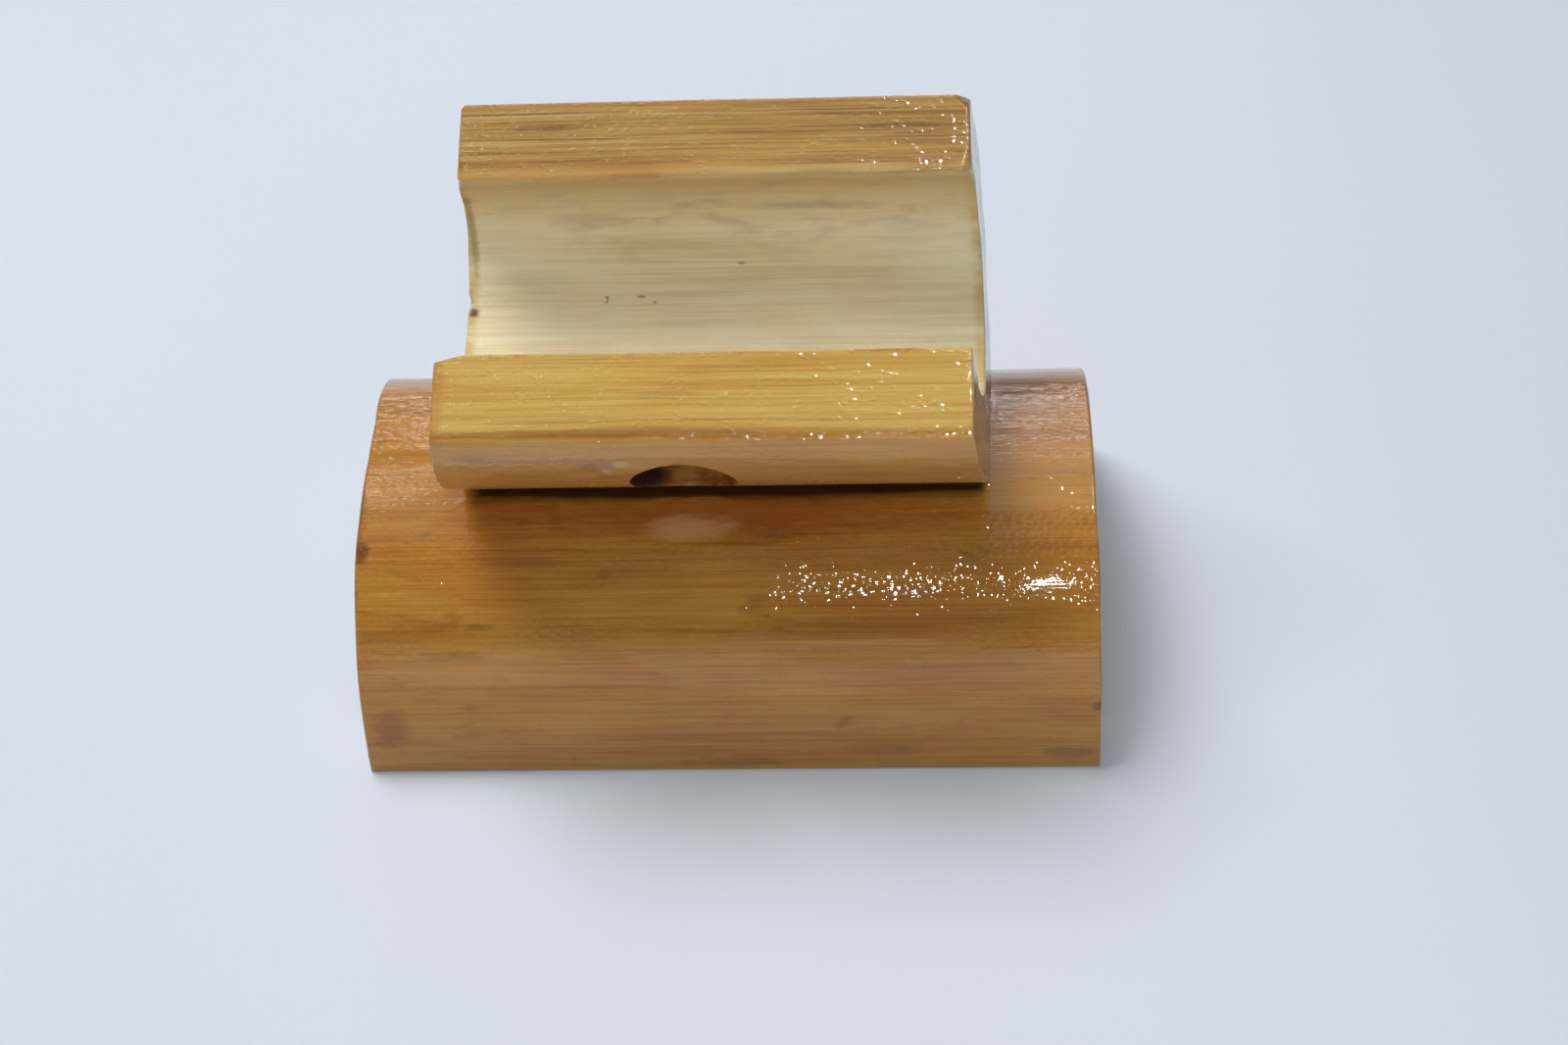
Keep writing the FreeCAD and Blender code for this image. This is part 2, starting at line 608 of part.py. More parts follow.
# the thread is left standing between grooves cut round the shank
gap_profile = offset_sketch(screws, "thread_gap_profile", "screwOffset")
gap = dim("threadGap")
outside = shank_r + 0.6
edges = add_lines(gap_profile, [(core_r, plain), (outside, plain - 0.3),
                                (outside, plain + gap + 0.3), (core_r, plain + gap)])
gap_profile.addConstraint(Sketcher.Constraint("Vertical", edges[1]))
gap_profile.addConstraint(Sketcher.Constraint("Vertical", edges[3]))
bind(gap_profile, "core", "DistanceX", -1, 1, edges[0], 1, core_r)
bind(gap_profile, "outside", "DistanceX", -1, 1, edges[0], 2, outside)
bind(gap_profile, "start", "DistanceY", -1, 1, edges[0], 1, plain)
bind(gap_profile, "gap", "DistanceY", edges[0], 1, edges[2], 2, gap)
bind(gap_profile, "lowFlank", "DistanceY", edges[0], 2, edges[0], 1, 0.3)
bind(gap_profile, "highFlank", "DistanceY", edges[2], 2, edges[1], 2, 0.3)
drive(gap_profile, "core", sheet_value("screwCoreRadius"))
drive(gap_profile, "outside", sheet_value("screwShankRadius") + " + 0.6")
drive(gap_profile, "start", sheet_value("screwPlainLength"))
drive(gap_profile, "gap", sheet_value("threadGap"))

thread_gap = revolve(screws, "PartDesign::Groove", "thread_gap", gap_profile)
gap_volume = volume_of(thread_gap)

thread = screws.newObject("PartDesign::LinearPattern", "thread")
thread.Originals = [thread_gap]
thread.Direction = (origin_item(screws, "Z_Axis"), [""])
thread.Length = (THREADS - 1) * dim("threadPitch")
thread.setExpression("Length", "%d * Dimensions.threadPitch" % (THREADS - 1))
thread.Occurrences = THREADS
screws.Tip = thread
thread_volume = volume_of(thread)

slot_sketch = new_sketch(screws, "XY_Plane", "recess_slot_outline")
slot_sketch.AttachmentOffset = FreeCAD.Placement(FreeCAD.Vector(screw_x, 0, 0), FreeCAD.Rotation())
slot_sketch.setExpression(".AttachmentOffset.Base.x", sheet_value("screwOffset"))
arm = dim("recessSpan") / 2.0
half_slot = dim("recessWidth") / 2.0
edges = add_lines(slot_sketch, [(-arm, -half_slot), (arm, -half_slot), (arm, half_slot), (-arm, half_slot)])
for index, kind in enumerate(("Horizontal", "Vertical", "Horizontal", "Vertical")):
    slot_sketch.addConstraint(Sketcher.Constraint(kind, edges[index]))
slot_sketch.addConstraint(Sketcher.Constraint("Symmetric", edges[0], 1, edges[1], 2, -1, 1))
bind(slot_sketch, "span", "DistanceX", edges[0], 1, edges[0], 2, 2.0 * arm)
bind(slot_sketch, "width", "DistanceY", edges[1], 1, edges[1], 2, 2.0 * half_slot)
drive(slot_sketch, "span", sheet_value("recessSpan"))
drive(slot_sketch, "width", sheet_value("recessWidth"))

recess_slot = screws.newObject("PartDesign::Pocket", "recess_slot")
recess_slot.Profile = slot_sketch
recess_slot.Type = "Length"
recess_slot.Length = dim("recessDepth")
recess_slot.setExpression("Length", sheet_value("recessDepth"))
recess_slot.Reversed = True
slot_volume = volume_of(recess_slot)

recess = screws.newObject("PartDesign::PolarPattern", "cross_recess")
recess.Originals = [recess_slot]
recess.Axis = (slot_sketch, ["N_Axis"])
recess.Angle = 90.0
recess.Occurrences = 2
screws.Tip = recess
recess_volume = volume_of(recess)
assert turned_volume > gap_volume > thread_volume > slot_volume > recess_volume

pair = mirror(screws, "screw_pair", [recess])
pair.TransformMode = "Whole shape"
assert abs(volume_of(pair) - 2.0 * recess_volume) < 0.001 * recess_volume
assert len(pair.Shape.Solids) == 2

# ------------------------------------------------------------ check and save
doc.recompute()
for item in doc.Objects:
    bad = [state for state in item.State if state in ("Invalid", "Error")]
    assert not bad, "%s is %s" % (item.Label, bad)

os.makedirs("parts", exist_ok=True)
for body in (base, cradle, glue, screws):
    shape = body.Shape
    assert not shape.isNull() and shape.isValid() and shape.Volume > 0.0, body.Label
    shape.exportStep("parts/%s.step" % body.Label)
    box = shape.BoundBox
    print("%-14s solids %d  volume %9.1f  x %.2f..%.2f  y %.2f..%.2f  z %.2f..%.2f" % (
        body.Label, len(shape.Solids), shape.Volume,
        box.XMin, box.XMax, box.YMin, box.YMax, box.ZMin, box.ZMax))
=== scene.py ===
import math

import bmesh
import bpy
import numpy as np
from mathutils import Matrix, Vector


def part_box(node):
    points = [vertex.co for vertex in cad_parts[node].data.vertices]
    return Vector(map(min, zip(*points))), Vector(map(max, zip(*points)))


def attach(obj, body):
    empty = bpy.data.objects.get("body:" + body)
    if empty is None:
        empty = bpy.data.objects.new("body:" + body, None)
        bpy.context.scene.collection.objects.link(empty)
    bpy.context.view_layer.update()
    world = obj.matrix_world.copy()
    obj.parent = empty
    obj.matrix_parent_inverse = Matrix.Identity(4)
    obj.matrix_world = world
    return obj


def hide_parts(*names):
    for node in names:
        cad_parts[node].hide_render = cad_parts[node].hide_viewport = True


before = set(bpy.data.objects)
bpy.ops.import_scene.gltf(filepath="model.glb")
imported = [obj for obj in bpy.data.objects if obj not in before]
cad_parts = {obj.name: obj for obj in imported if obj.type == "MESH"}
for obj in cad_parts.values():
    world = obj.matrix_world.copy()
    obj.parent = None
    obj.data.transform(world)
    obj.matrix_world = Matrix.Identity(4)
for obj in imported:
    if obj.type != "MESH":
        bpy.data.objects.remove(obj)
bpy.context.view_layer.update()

MM = 0.001

# ------------------------------------------------------------------ sizes, in millimetres
base_low, base_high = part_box("base_culm")
cradle_low, cradle_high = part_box("cradle_culm")
BASE_R = (base_high.y - base_low.y) / 2 / MM
BASE_WALL = 11.0
BASE_HALF = (base_high.x - base_low.x) / 2 / MM
BASE_LEAN = math.radians(0.9)
SEAT_Z = 35.576
SEAT_LEFT, SEAT_RIGHT = -34.0, 32.5
CRADLE_R = cradle_high.y / MM
CRADLE_WALL = 12.7
CRADLE_LEFT, CRADLE_RIGHT = -38.4, 36.9
LEFT_LEAN, LEFT_YAW = math.radians(2.8), math.radians(0.9)
RIGHT_LEAN, RIGHT_YAW = math.radians(4.0), math.radians(1.7)
FLAT = 28.117
AXIS_Z = cradle_low.z / MM + FLAT
TILT = math.radians(22.3)
RISE = 7.45
HOLE_R = 7.5
HOLE_X = -4.8
HOLE_DROP = math.radians(36.0)


# ------------------------------------------------------------------ camera
def make_camera():
    """The viewing angle: a little right of the front, looking down at 44 degrees, rolled 4 degrees."""
    elevation, roll, azimuth = math.radians(43.887), math.radians(-3.898), math.radians(4.61)
    back = Vector((math.sin(azimuth) * math.cos(elevation),
                   -math.cos(azimuth) * math.cos(elevation), math.sin(elevation)))
    level = Vector((math.cos(azimuth), math.sin(azimuth), 0.0))
    rise = back.cross(level)
    right = level * math.cos(roll) + rise * math.sin(roll)
    up = rise * math.cos(roll) - level * math.sin(roll)
    distance, to_the_right, upwards = 425.62, 6.388, 12.395
    spot = (back * distance + right * to_the_right + up * upwards) * MM
    data = bpy.data.cameras.new("camera")
    data.sensor_width = 36.0
    data.lens = 60.75
    data.clip_start, data.clip_end = 0.01, 20.0
    camera = bpy.data.objects.new("camera", data)
    camera.matrix_world = Matrix((
        (right.x, up.x, back.x, spot.x),
        (right.y, up.y, back.y, spot.y),
        (right.z, up.z, back.z, spot.z),
        (0.0, 0.0, 0.0, 1.0)))
    bpy.context.collection.objects.link(camera)
    bpy.context.scene.camera = camera


# ------------------------------------------------------------------ repeatable noise for shapes
def hashed(a, b, seed):
    h = (a * 374761393 + b * 668265263 + seed * 2246822519) & 0xFFFFFFFF
    h = ((h ^ (h >> 13)) * 1274126177) & 0xFFFFFFFF
    h = h ^ (h >> 16)
    return h / 2147483647.5 - 1.0


def ripple(a, b, seed):
    """Smooth noise from -1 to 1 over a plane."""
    ia, ib = np.floor(a).astype(np.int64), np.floor(b).astype(np.int64)
    fa, fb = a - ia, b - ib
    fa, fb = fa * fa * (3 - 2 * fa), fb * fb * (3 - 2 * fb)
    low = hashed(ia, ib, seed) * (1 - fa) + hashed(ia + 1, ib, seed) * fa
    high = hashed(ia, ib + 1, seed) * (1 - fa) + hashed(ia + 1, ib + 1, seed) * fa
    return low * (1 - fb) + high * fb


def bump_at(a, b, a0, b0, wide_a, wide_b):
    return np.exp(-((a - a0) / wide_a) ** 2 - ((b - b0) / wide_b) ** 2)


# ------------------------------------------------------------------ a length of culm wall
def stops(length, near, step):
    """Grid lines along one side, closer together at both ends where the edge is rounded."""
    close = near * np.array([0.0, 0.06, 0.13, 0.22, 0.34, 0.5, 0.72, 1.0])
    count = max(2, round((length - 2 * near) / step))
    middle = np.linspace(near, length - near, count + 1)[1:-1]
    return np.concatenate([close, middle, length - close[::-1]])


EDGE_ZONE = 1.8
WIDEST_ROUNDING = 1.75


class Culm:
    """A culm wall as a bent block: X along it, S round it from the front rim to the back, W outwards."""

    def __init__(self, name, radius, wall, centre_z, length, around):
        self.name, self.centre_z = name, centre_z
        self.radius, self.wall, self.bore = radius, wall, radius - wall
        self.length, self.around = length, around

    def angles(self, rho):
        """Where the wall starts and stops, as angles, at this distance from the axis."""
        raise NotImplementedError

    def ends(self, y, z):
        """X of the left and right end face."""
        raise NotImplementedError

    def rim_depth(self, y, z):
        """How far a point lies below the sawn rims."""
        raise NotImplementedError

    def rounding(self, x, s, w):
        """Radius of the rounded edges."""
        raise NotImplementedError

    def shape(self, x, s, w, nx, ns, nw):
        """Move points of the block before it is bent; the n values are its outward directions."""
        return x, s, w

    def finish_points(self, x, y, z):
        """Move points of the bent wall."""
        return x, y, z

    def place(self, x, s, w):
        rho = self.bore + w
        first, last = self.angles(rho)
        angle = first + (last - first) * s / self.around
        y, z = rho * np.cos(angle), rho * np.sin(angle)
        left, right = self.ends(y, z)
        return left + (right - left) * x / self.length, y, z

    def build(self, step_x, step_s, step_w):
        xs = stops(self.length, EDGE_ZONE, step_x)
        ss = stops(self.around, EDGE_ZONE, step_s)
        ws = stops(self.wall, EDGE_ZONE, step_w)
        nx, ns, nw = len(xs) - 1, len(ss) - 1, len(ws) - 1
        i, j, k = np.meshgrid(np.arange(nx + 1), np.arange(ns + 1), np.arange(nw + 1), indexing="ij")
        shell = (i == 0) | (i == nx) | (j == 0) | (j == ns) | (k == 0) | (k == nw)
        number = np.full(shell.shape, -1, np.int64)
        number[shell] = np.arange(shell.sum())
        point = np.stack([xs[i[shell]], ss[j[shell]], ws[k[shell]]], axis=1)
        size = np.array([self.length, self.around, self.wall])
        radius = self.rounding(*point.T)
        radius = radius * (1.0 + 0.25 * ripple(point[:, 0] / 9.0, point[:, 1] / 9.0 + point[:, 2] / 5.0, 3))
        radius = np.minimum(radius, WIDEST_ROUNDING)[:, None]
        inside = np.clip(point, radius, size - radius)
        out = point - inside
        out /= np.linalg.norm(out, axis=1)[:, None]
        point = inside + out * radius
        flat = self.shape(*point.T, *out.T)
        x, y, z = self.place(*flat)
        x, y, z = self.finish_points(x, y, z + self.centre_z)
        quads = []
        for sheet in (number[:, :, 0], number[:, :, nw], number[:, 0, :],
                      number[:, ns, :], number[0, :, :], number[nx, :, :]):
            quads.append(np.stack([sheet[:-1, :-1], sheet[1:, :-1], sheet[1:, 1:], sheet[:-1, 1:]],
                                  axis=-1).reshape(-1, 4))
        mesh = bpy.data.meshes.new(self.name)
        mesh.from_pydata((np.stack([x, y, z], axis=1) * MM).tolist(), [], np.concatenate(quads).tolist())
        mesh.validate()
        obj = bpy.data.objects.new(self.name, mesh)
        bpy.context.collection.objects.link(obj)
        face_outwards(mesh)
        return obj

    def tag(self, mesh):
        """Write what each point belongs to: skin, rim, bore or end, and how deep in the wall it is."""
        co = np.empty(len(mesh.vertices) * 3)
        mesh.vertices.foreach_get("co", co)
        x, y, z = (co.reshape(-1, 3) / MM).T
        z = z - self.centre_z
        rho = np.hypot(y, z)
        left, right = self.ends(y, z)
        depth = np.abs(np.stack([self.radius - rho, self.rim_depth(y, z), rho - self.bore,
                                 np.minimum(x - left, right - x)], axis=1))
        share = 1.0 / (depth + 0.12) ** 3
        share /= share.sum(axis=1)[:, None]
        zone = mesh.attributes.new("zone", "FLOAT_COLOR", "POINT")
        zone.data.foreach_set("color", share.ravel().astype(np.float32))
        near = np.sort(depth, axis=1)
        values = {
            "wall": np.clip((rho - self.bore) / self.wall, 0.0, 1.0),
            "edge": np.exp(-(near[:, 1] / 0.7) ** 2),
            "below": self.rim_depth(y, z),
            "tip": depth[:, 3],
        }
        for key, value in values.items():
            mesh.attributes.new(key, "FLOAT", "POINT").data.foreach_set("value", value.astype(np.float32))


def face_outwards(mesh):
    bm = bmesh.new()
    bm.from_mesh(mesh)
    bmesh.ops.recalc_face_normals(bm, faces=bm.faces)
    bm.to_mesh(mesh)
    bm.free()
    mesh.shade_smooth()


def satin_bore(mesh, material):
    """Give the bore, which drank its lacquer, a duller material."""
    mesh.materials.append(material)
    share = np.empty(len(mesh.vertices) * 4, np.float32)
    mesh.attributes["zone"].data.foreach_get("color", share)
    share = share.reshape(-1, 4)
    for face in mesh.polygons:
        if face.material_index == 0 and share[list(face.vertices)].mean(axis=0)[2] > 0.5:
            face.material_index = len(mesh.materials) - 1


class Foot(Culm):
    """The halved culm, skin up."""

    def __init__(self):
        around = math.pi * (BASE_R - BASE_WALL / 2)
        super().__init__("base_bamboo", BASE_R, BASE_WALL, 0.0, 2 * BASE_HALF, around)

    def angles(self, rho):
        return math.pi, 0.0

    def ends(self, y, z):
        climb = np.degrees(np.arctan2(z, -y))
        left = -BASE_HALF - np.interp(climb, [0, 60, 84, 96, 110, 120, 130, 180],
                                      [0.45, 0.45, 0.0, 0.1, 0.95, 1.35, 1.6, 0.6])
        right = BASE_HALF - z * math.tan(BASE_LEAN)
        right += np.interp(climb, [0, 50, 110, 180], [0.15, 0.28, 0.15, 0.2])
        return left, right

    def rim_depth(self, y, z):
        return z

    def rounding(self, x, s, w):
        foot = np.minimum(s, self.around - s)
        return np.where(foot < 3.0, 0.25, 0.45)

    def shape(self, x, s, w, nx, ns, nw):
        skin = 0.07 * ripple(x / 60.0, s / 5.5, 11) + 0.04 * ripple(x / 25.0, s / 2.2, 12)
        bore = 0.35 * ripple(x / 40.0, s / 4.0, 13) + 0.15 * ripple(x / 12.0, s / 1.6, 14)
        away = np.clip(np.minimum(s, self.around - s) / 4.0, 0.0, 1.0)
        high = 0.12 + 0.45 * bump_at(x, s, 0.0, self.around * 0.74, 30.0, 16.0)
        high += 0.40 * bump_at(x, s, self.length, self.around * 0.74, 30.0, 16.0)
        w = w + np.where(nw > 0, (away * skin + high) * nw, 0.0) + np.where(nw < 0, away * bore * -nw, 0.0)
        x = x - nx * 0.12 * ripple(s / 7.0, w / 5.0, 15)
        return x, s, w

    def finish_points(self, x, y, z):
        seated = (x > SEAT_LEFT) & (x < SEAT_RIGHT) & (np.hypot(y, z) > BASE_R - 3.0)
        return x, y, np.where(seated, np.minimum(z, SEAT_Z), z)


class Trough(Culm):
    """The culm sawn open along its length."""

    def __init__(self):
        length, around = CRADLE_RIGHT - CRADLE_LEFT, (CRADLE_R - CRADLE_WALL / 2) * (math.pi + 0.7)
        super().__init__("cradle_bamboo", CRADLE_R, CRADLE_WALL, AXIS_Z, length, around)

    def angles(self, rho):
        over = np.arcsin(np.clip(RISE / rho, 0.0, 1.0))
        return TILT + math.pi - over, TILT + 2 * math.pi + over

    def ends(self, y, z):
        rho = np.hypot(y, z)
        first, last = self.angles(rho)
        turn = ((np.arctan2(z, y) - TILT) % (2 * math.pi)) + TILT
        turn = np.where(turn < TILT + math.pi / 2, turn + 2 * math.pi, turn)
        share = np.clip((turn - first) / (last - first), 0.0, 1.0)
        depth = np.clip((rho - self.bore) / self.wall, 0.0, 1.0)
        out_left = np.interp(share, [0.0, 0.06, 0.5, 0.9, 1.0], [0.2, 0.3, 0.3, 0.35, 0.1])
        out_left += np.where(share < 0.1, 0.25 * (1.0 - 2.0 * depth), 0.0) * (1.0 - share / 0.1)
        out_left += np.where(share > 0.9, 0.35 * depth, 0.0) * (share - 0.9) / 0.1
        out_right = np.interp(share, [0.0, 0.08, 0.2, 0.85, 1.0], [0.0, 0.25, 0.5, 0.5, 0.45])
        out_right -= np.where(share > 0.85, 0.35 * depth, 0.0) * (share - 0.85) / 0.15
        left = CRADLE_LEFT + y * math.tan(LEFT_YAW) + z * math.tan(LEFT_LEAN) - out_left
        right = CRADLE_RIGHT + y * math.tan(RIGHT_YAW) - z * math.tan(RIGHT_LEAN) + out_right
        return left, right

    def rim_depth(self, y, z):
        return RISE + y * math.sin(TILT) - z * math.cos(TILT)

    def rounding(self, x, s, w):
        soft = np.clip((s - self.around + 6.0) / 4.0, 0.0, 1.0) * np.clip(1.0 - w / 5.0, 0.0, 1.0)
        return 0.38 + 1.2 * soft

    def shape(self, x, s, w, nx, ns, nw):
        skin = 0.08 * ripple(x / 50.0, s / 5.0, 21) + 0.04 * ripple(x / 20.0, s / 2.0, 22)
        bore = 0.16 * ripple(x / 45.0, s / 4.5, 23) + 0.06 * ripple(x / 10.0, s / 1.5, 24)
        w = w + np.where(nw > 0, skin * nw, 0.0) + np.where(nw < 0, bore * -nw, 0.0)
        w = w + np.where(nw > 0.5, 1.0, 0.0) * (0.40 * bump_at(x, s, 23.9, 7.0, 0.9, 1.3)
                                                - 0.20 * bump_at(x, s, 21.6, 7.2, 1.6, 0.9))
        s = s - ns * 0.09 * ripple(x / 18.0, w / 6.0, 25) + np.where(ns > 0, 0.2 * ns, 0.0)
        x = x - nx * 0.10 * ripple(s / 6.0, w / 4.0, 26)
        s = s - np.minimum(ns, 0.0) * 0.34 * np.clip(1.0 - (self.wall - w) / 1.0, 0.0, 1.0)
        # chips along the bore's ends, the worn corner of the lip and the eased back corners
        at_left, at_right = np.where(x < 20, 1.0, 0.0), np.where(x > 55, 1.0, 0.0)
        x = x + at_left * 0.9 * bump_at(s, w, self.around * 0.60, 0.0, 0.9, 1.1)
        x = x - at_right * 0.5 * bump_at(s, w, self.around * 0.72, 0.0, 0.7, 0.9)
        x = x - at_right * 0.5 * bump_at(s, w, self.around * 0.69, 0.0, 0.5, 0.9)
        x, s, w = shave(x, s, w, (4.2, 2.4, 1.1))
        back = self.around - s
        x, back, w = shave(x, back, w, (1.1, 1.8, 1.8))
        far, back, deep = shave(self.length - x, back, self.wall - w, (2.1, 1.8, 2.2))
        near, back, deep = shave(x, back, deep, (0.7, 0.9, 0.9))
        x = np.where(x > 30, self.length - far, near)
        return x, self.around - back, self.wall - deep

    def finish_points(self, x, y, z):
        return x, y, np.maximum(z, AXIS_Z - FLAT)


def shave(a, b, c, reach):
    """Cut a corner back to the plane that meets its sides at the given distances."""
    normal = 1.0 / np.array(reach)
    short = 1.0 - (a * normal[0] + b * normal[1] + c * normal[2])
    push = np.clip(short, 0.0, None) / (normal ** 2).sum()
    return a + push * normal[0], b + push * normal[1], c + push * normal[2]


def drill_cable_hole(trough, material):
    """Cut the cable outlet with a cutter that eases the hole's two mouths.

    Its rings are counted from the bore, from the skin, or as a share of the wall between them.
    """
    around, across = 96, Vector((1.0, 0.0, 0.0))
    along = Vector((0.0, -math.cos(HOLE_DROP), -math.sin(HOLE_DROP)))
    side = along.cross(across)
    centre = Vector((HOLE_X, 0.0, AXIS_Z))
    inner, outer = CRADLE_R - CRADLE_WALL, CRADLE_R
    rings = [("in", 0.9, -3.0), ("in", 0.8, -0.45), ("in", 0.35, -0.03), ("in", 0.1, 0.2), ("in", 0.0, 0.6)]
    rings += [("mix", 0.0, share) for share in (0.15, 0.3, 0.45, 0.6, 0.75, 0.9)]
    rings += [("out", 0.0, -0.5), ("out", 0.08, -0.22), ("out", 0.25, -0.02)]
    rings += [("out", 0.6, 0.35), ("out", 0.7, 4.0)]
    points = []
    for kind, flare, shift in rings:
        radius = HOLE_R + flare
        for step in range(around):
            turn = 2 * math.pi * step / around
            off = radius * math.sin(turn)
            low, high = math.sqrt(inner ** 2 - off ** 2), math.sqrt(outer ** 2 - off ** 2)
            middle = low + 0.6 + (high - low - 1.1) * shift
            depth = {"in": low + shift, "out": high + shift, "mix": middle}[kind]
            points.append((centre + across * radius * math.cos(turn) + side * off + along * depth) * MM)
    faces = []
    for ring in range(len(rings) - 1):
        for step in range(around):
            after = (step + 1) % around
            faces.append((ring * around + step, ring * around + after,
                          (ring + 1) * around + after, (ring + 1) * around + step))
    faces.append(tuple(range(around)))
    faces.append(tuple((len(rings) - 1) * around + step for step in reversed(range(around))))
    mesh = bpy.data.meshes.new("cutter")
    mesh.from_pydata(points, [], faces)
    mesh.materials.append(material)
    face_outwards(mesh)
    cutter = bpy.data.objects.new("cutter", mesh)
    bpy.context.collection.objects.link(cutter)
    drill = trough.modifiers.new("drill", "BOOLEAN")
    drill.operation, drill.solver, drill.object = "DIFFERENCE", "EXACT", cutter
    drill.material_mode = "TRANSFER"
    bpy.context.view_layer.update()
    cut = bpy.data.meshes.new_from_object(trough.evaluated_get(bpy.context.evaluated_depsgraph_get()))
    trough.modifiers.clear()
    trough.data = cut
    bpy.data.objects.remove(cutter)


# ------------------------------------------------------------------ material nodes
FIBRE_RELIEF, LACQUER_RELIEF = 0.025 * MM, 0.1 * MM


class Graph:
    """Short forms for building one material's nodes."""

    def __init__(self, name):
        self.material = bpy.data.materials.new(name)
        self.material.use_nodes = True
        self.tree = self.material.node_tree
        self.tree.nodes.clear()

    def node(self, kind, **inputs):
        item = self.tree.nodes.new(kind)
        for key, value in inputs.items():
            self.put(item.inputs[key.replace("_", " ")], value)
        return item

    def put(self, socket, value):
        if isinstance(value, bpy.types.NodeSocket):
            self.tree.links.new(value, socket)
        else:
            socket.default_value = value

    def math(self, operation, *values, clamp=False):
        item = self.tree.nodes.new("ShaderNodeMath")
        item.operation, item.use_clamp = operation, clamp
        for socket, value in zip(item.inputs, values):
            self.put(socket, value)
        return item.outputs[0]

    def times(self, first, second):
        return self.math("MULTIPLY", first, second)

    def plus(self, first, second):
        return self.math("ADD", first, second)

    def rest(self, share):
        """What a share leaves of 1."""
        return self.math("SUBTRACT", 1.0, share)

    def vector(self, operation, *values):
        item = self.tree.nodes.new("ShaderNodeVectorMath")
        item.operation = operation
        for socket, value in zip(item.inputs, values):
            self.put(socket, value)
        return item.outputs["Value" if operation == "LENGTH" else "Vector"]

    def stretch(self, vector, scale):
        return self.vector("MULTIPLY", vector, scale)

    def shift(self, vector, by):
        return self.vector("ADD", vector, by)

    def noise(self, vector, scale, detail=3.0, roughness=0.5, distortion=0.0):
        item = self.node("ShaderNodeTexNoise", Vector=self.stretch(vector, scale), Scale=1.0, Detail=detail,
                         Roughness=roughness, Distortion=distortion)
        return item.outputs["Fac"]

    def cells(self, vector, scale):
        item = self.node("ShaderNodeTexVoronoi", Vector=self.stretch(vector, scale), Scale=1.0,
                         Randomness=1.0)
        return item.outputs["Distance"]

    def span(self, value, low, high, to_low=0.0, to_high=1.0, smooth=True):
        """Read value between low and high as a number between to_low and to_high."""
        item = self.tree.nodes.new("ShaderNodeMapRange")
        item.interpolation_type = "SMOOTHSTEP" if smooth else "LINEAR"
        for socket, number in zip(item.inputs, (value, low, high, to_low, to_high)):
            self.put(socket, number)
        return item.outputs[0]

    def ramp(self, value, colours):
        item = self.tree.nodes.new("ShaderNodeValToRGB")
        self.put(item.inputs[0], value)
        bar = item.color_ramp
        while len(bar.elements) < len(colours):
            bar.elements.new(0.5)
        for element, (place, colour) in zip(bar.elements, colours):
            element.position = place
            element.color = (*colour, 1.0)
        return item.outputs[0]

    def blend(self, share, first, second):
        item = self.tree.nodes.new("ShaderNodeMix")
        item.data_type = "RGBA"
        for socket, value in ((item.inputs[0], share), (item.inputs[6], first), (item.inputs[7], second)):
            if isinstance(value, tuple) and len(value) == 3:
                value = (*value, 1.0)
            self.put(socket, value)
        return item.outputs[2]

    def attribute(self, name, output="Fac"):
        item = self.tree.nodes.new("ShaderNodeAttribute")
        item.attribute_name = name
        return item.outputs[output]

    def split(self, vector):
        item = self.node("ShaderNodeSeparateXYZ", Vector=vector)
        return item.outputs[0], item.outputs[1], item.outputs[2]

    def bump(self, height, distance, under=None):
        item = self.node("ShaderNodeBump", Height=height, Strength=1.0, Distance=distance)
        if under is not None:
            self.put(item.inputs["Normal"], under)
        return item.outputs["Normal"]

    def millimetres(self):
        place = self.tree.nodes.new("ShaderNodeTexCoord").outputs["Object"]
        return self.stretch(place, (1.0 / MM,) * 3)

    def close(self, **inputs):
        shader = self.node("ShaderNodeBsdfPrincipled", **inputs)
        output = self.tree.nodes.new("ShaderNodeOutputMaterial")
        self.tree.links.new(shader.outputs[0], output.inputs["Surface"])
        return self.material


def mark(g, place, centre, long, wide, ragged=0.5):
    """A small mark drawn out along the culm: 1 about centre, fading to 0, its edge broken up by ragged."""
    scaled = g.stretch(g.shift(place, tuple(-c for c in centre)), (1.0 / long, 1.0 / wide, 1.0 / wide))
    return g.span(g.plus(g.vector("LENGTH", scaled), ragged), 0.75, 1.45, 1.0, 0.0)


def streaks(g, place, along, across, seed, detail=4.0, roughness=0.6, warp=0.0):
    """Noise drawn out along the culm; the two scales are per millimetre."""
    moved = g.shift(place, (seed * 13.7, seed * 5.1, seed * 9.3))
    return g.noise(moved, (along, across, across), detail, roughness, warp)


def weigh(g, *parts):
    """Add noises, each with its weight, about a middle of 0.5."""
    total = None
    for noise, weight in parts:
        part = g.times(noise, weight)
        total = part if total is None else g.plus(total, part)
    return g.plus(total, 0.5 - 0.5 * sum(weight for noise, weight in parts))


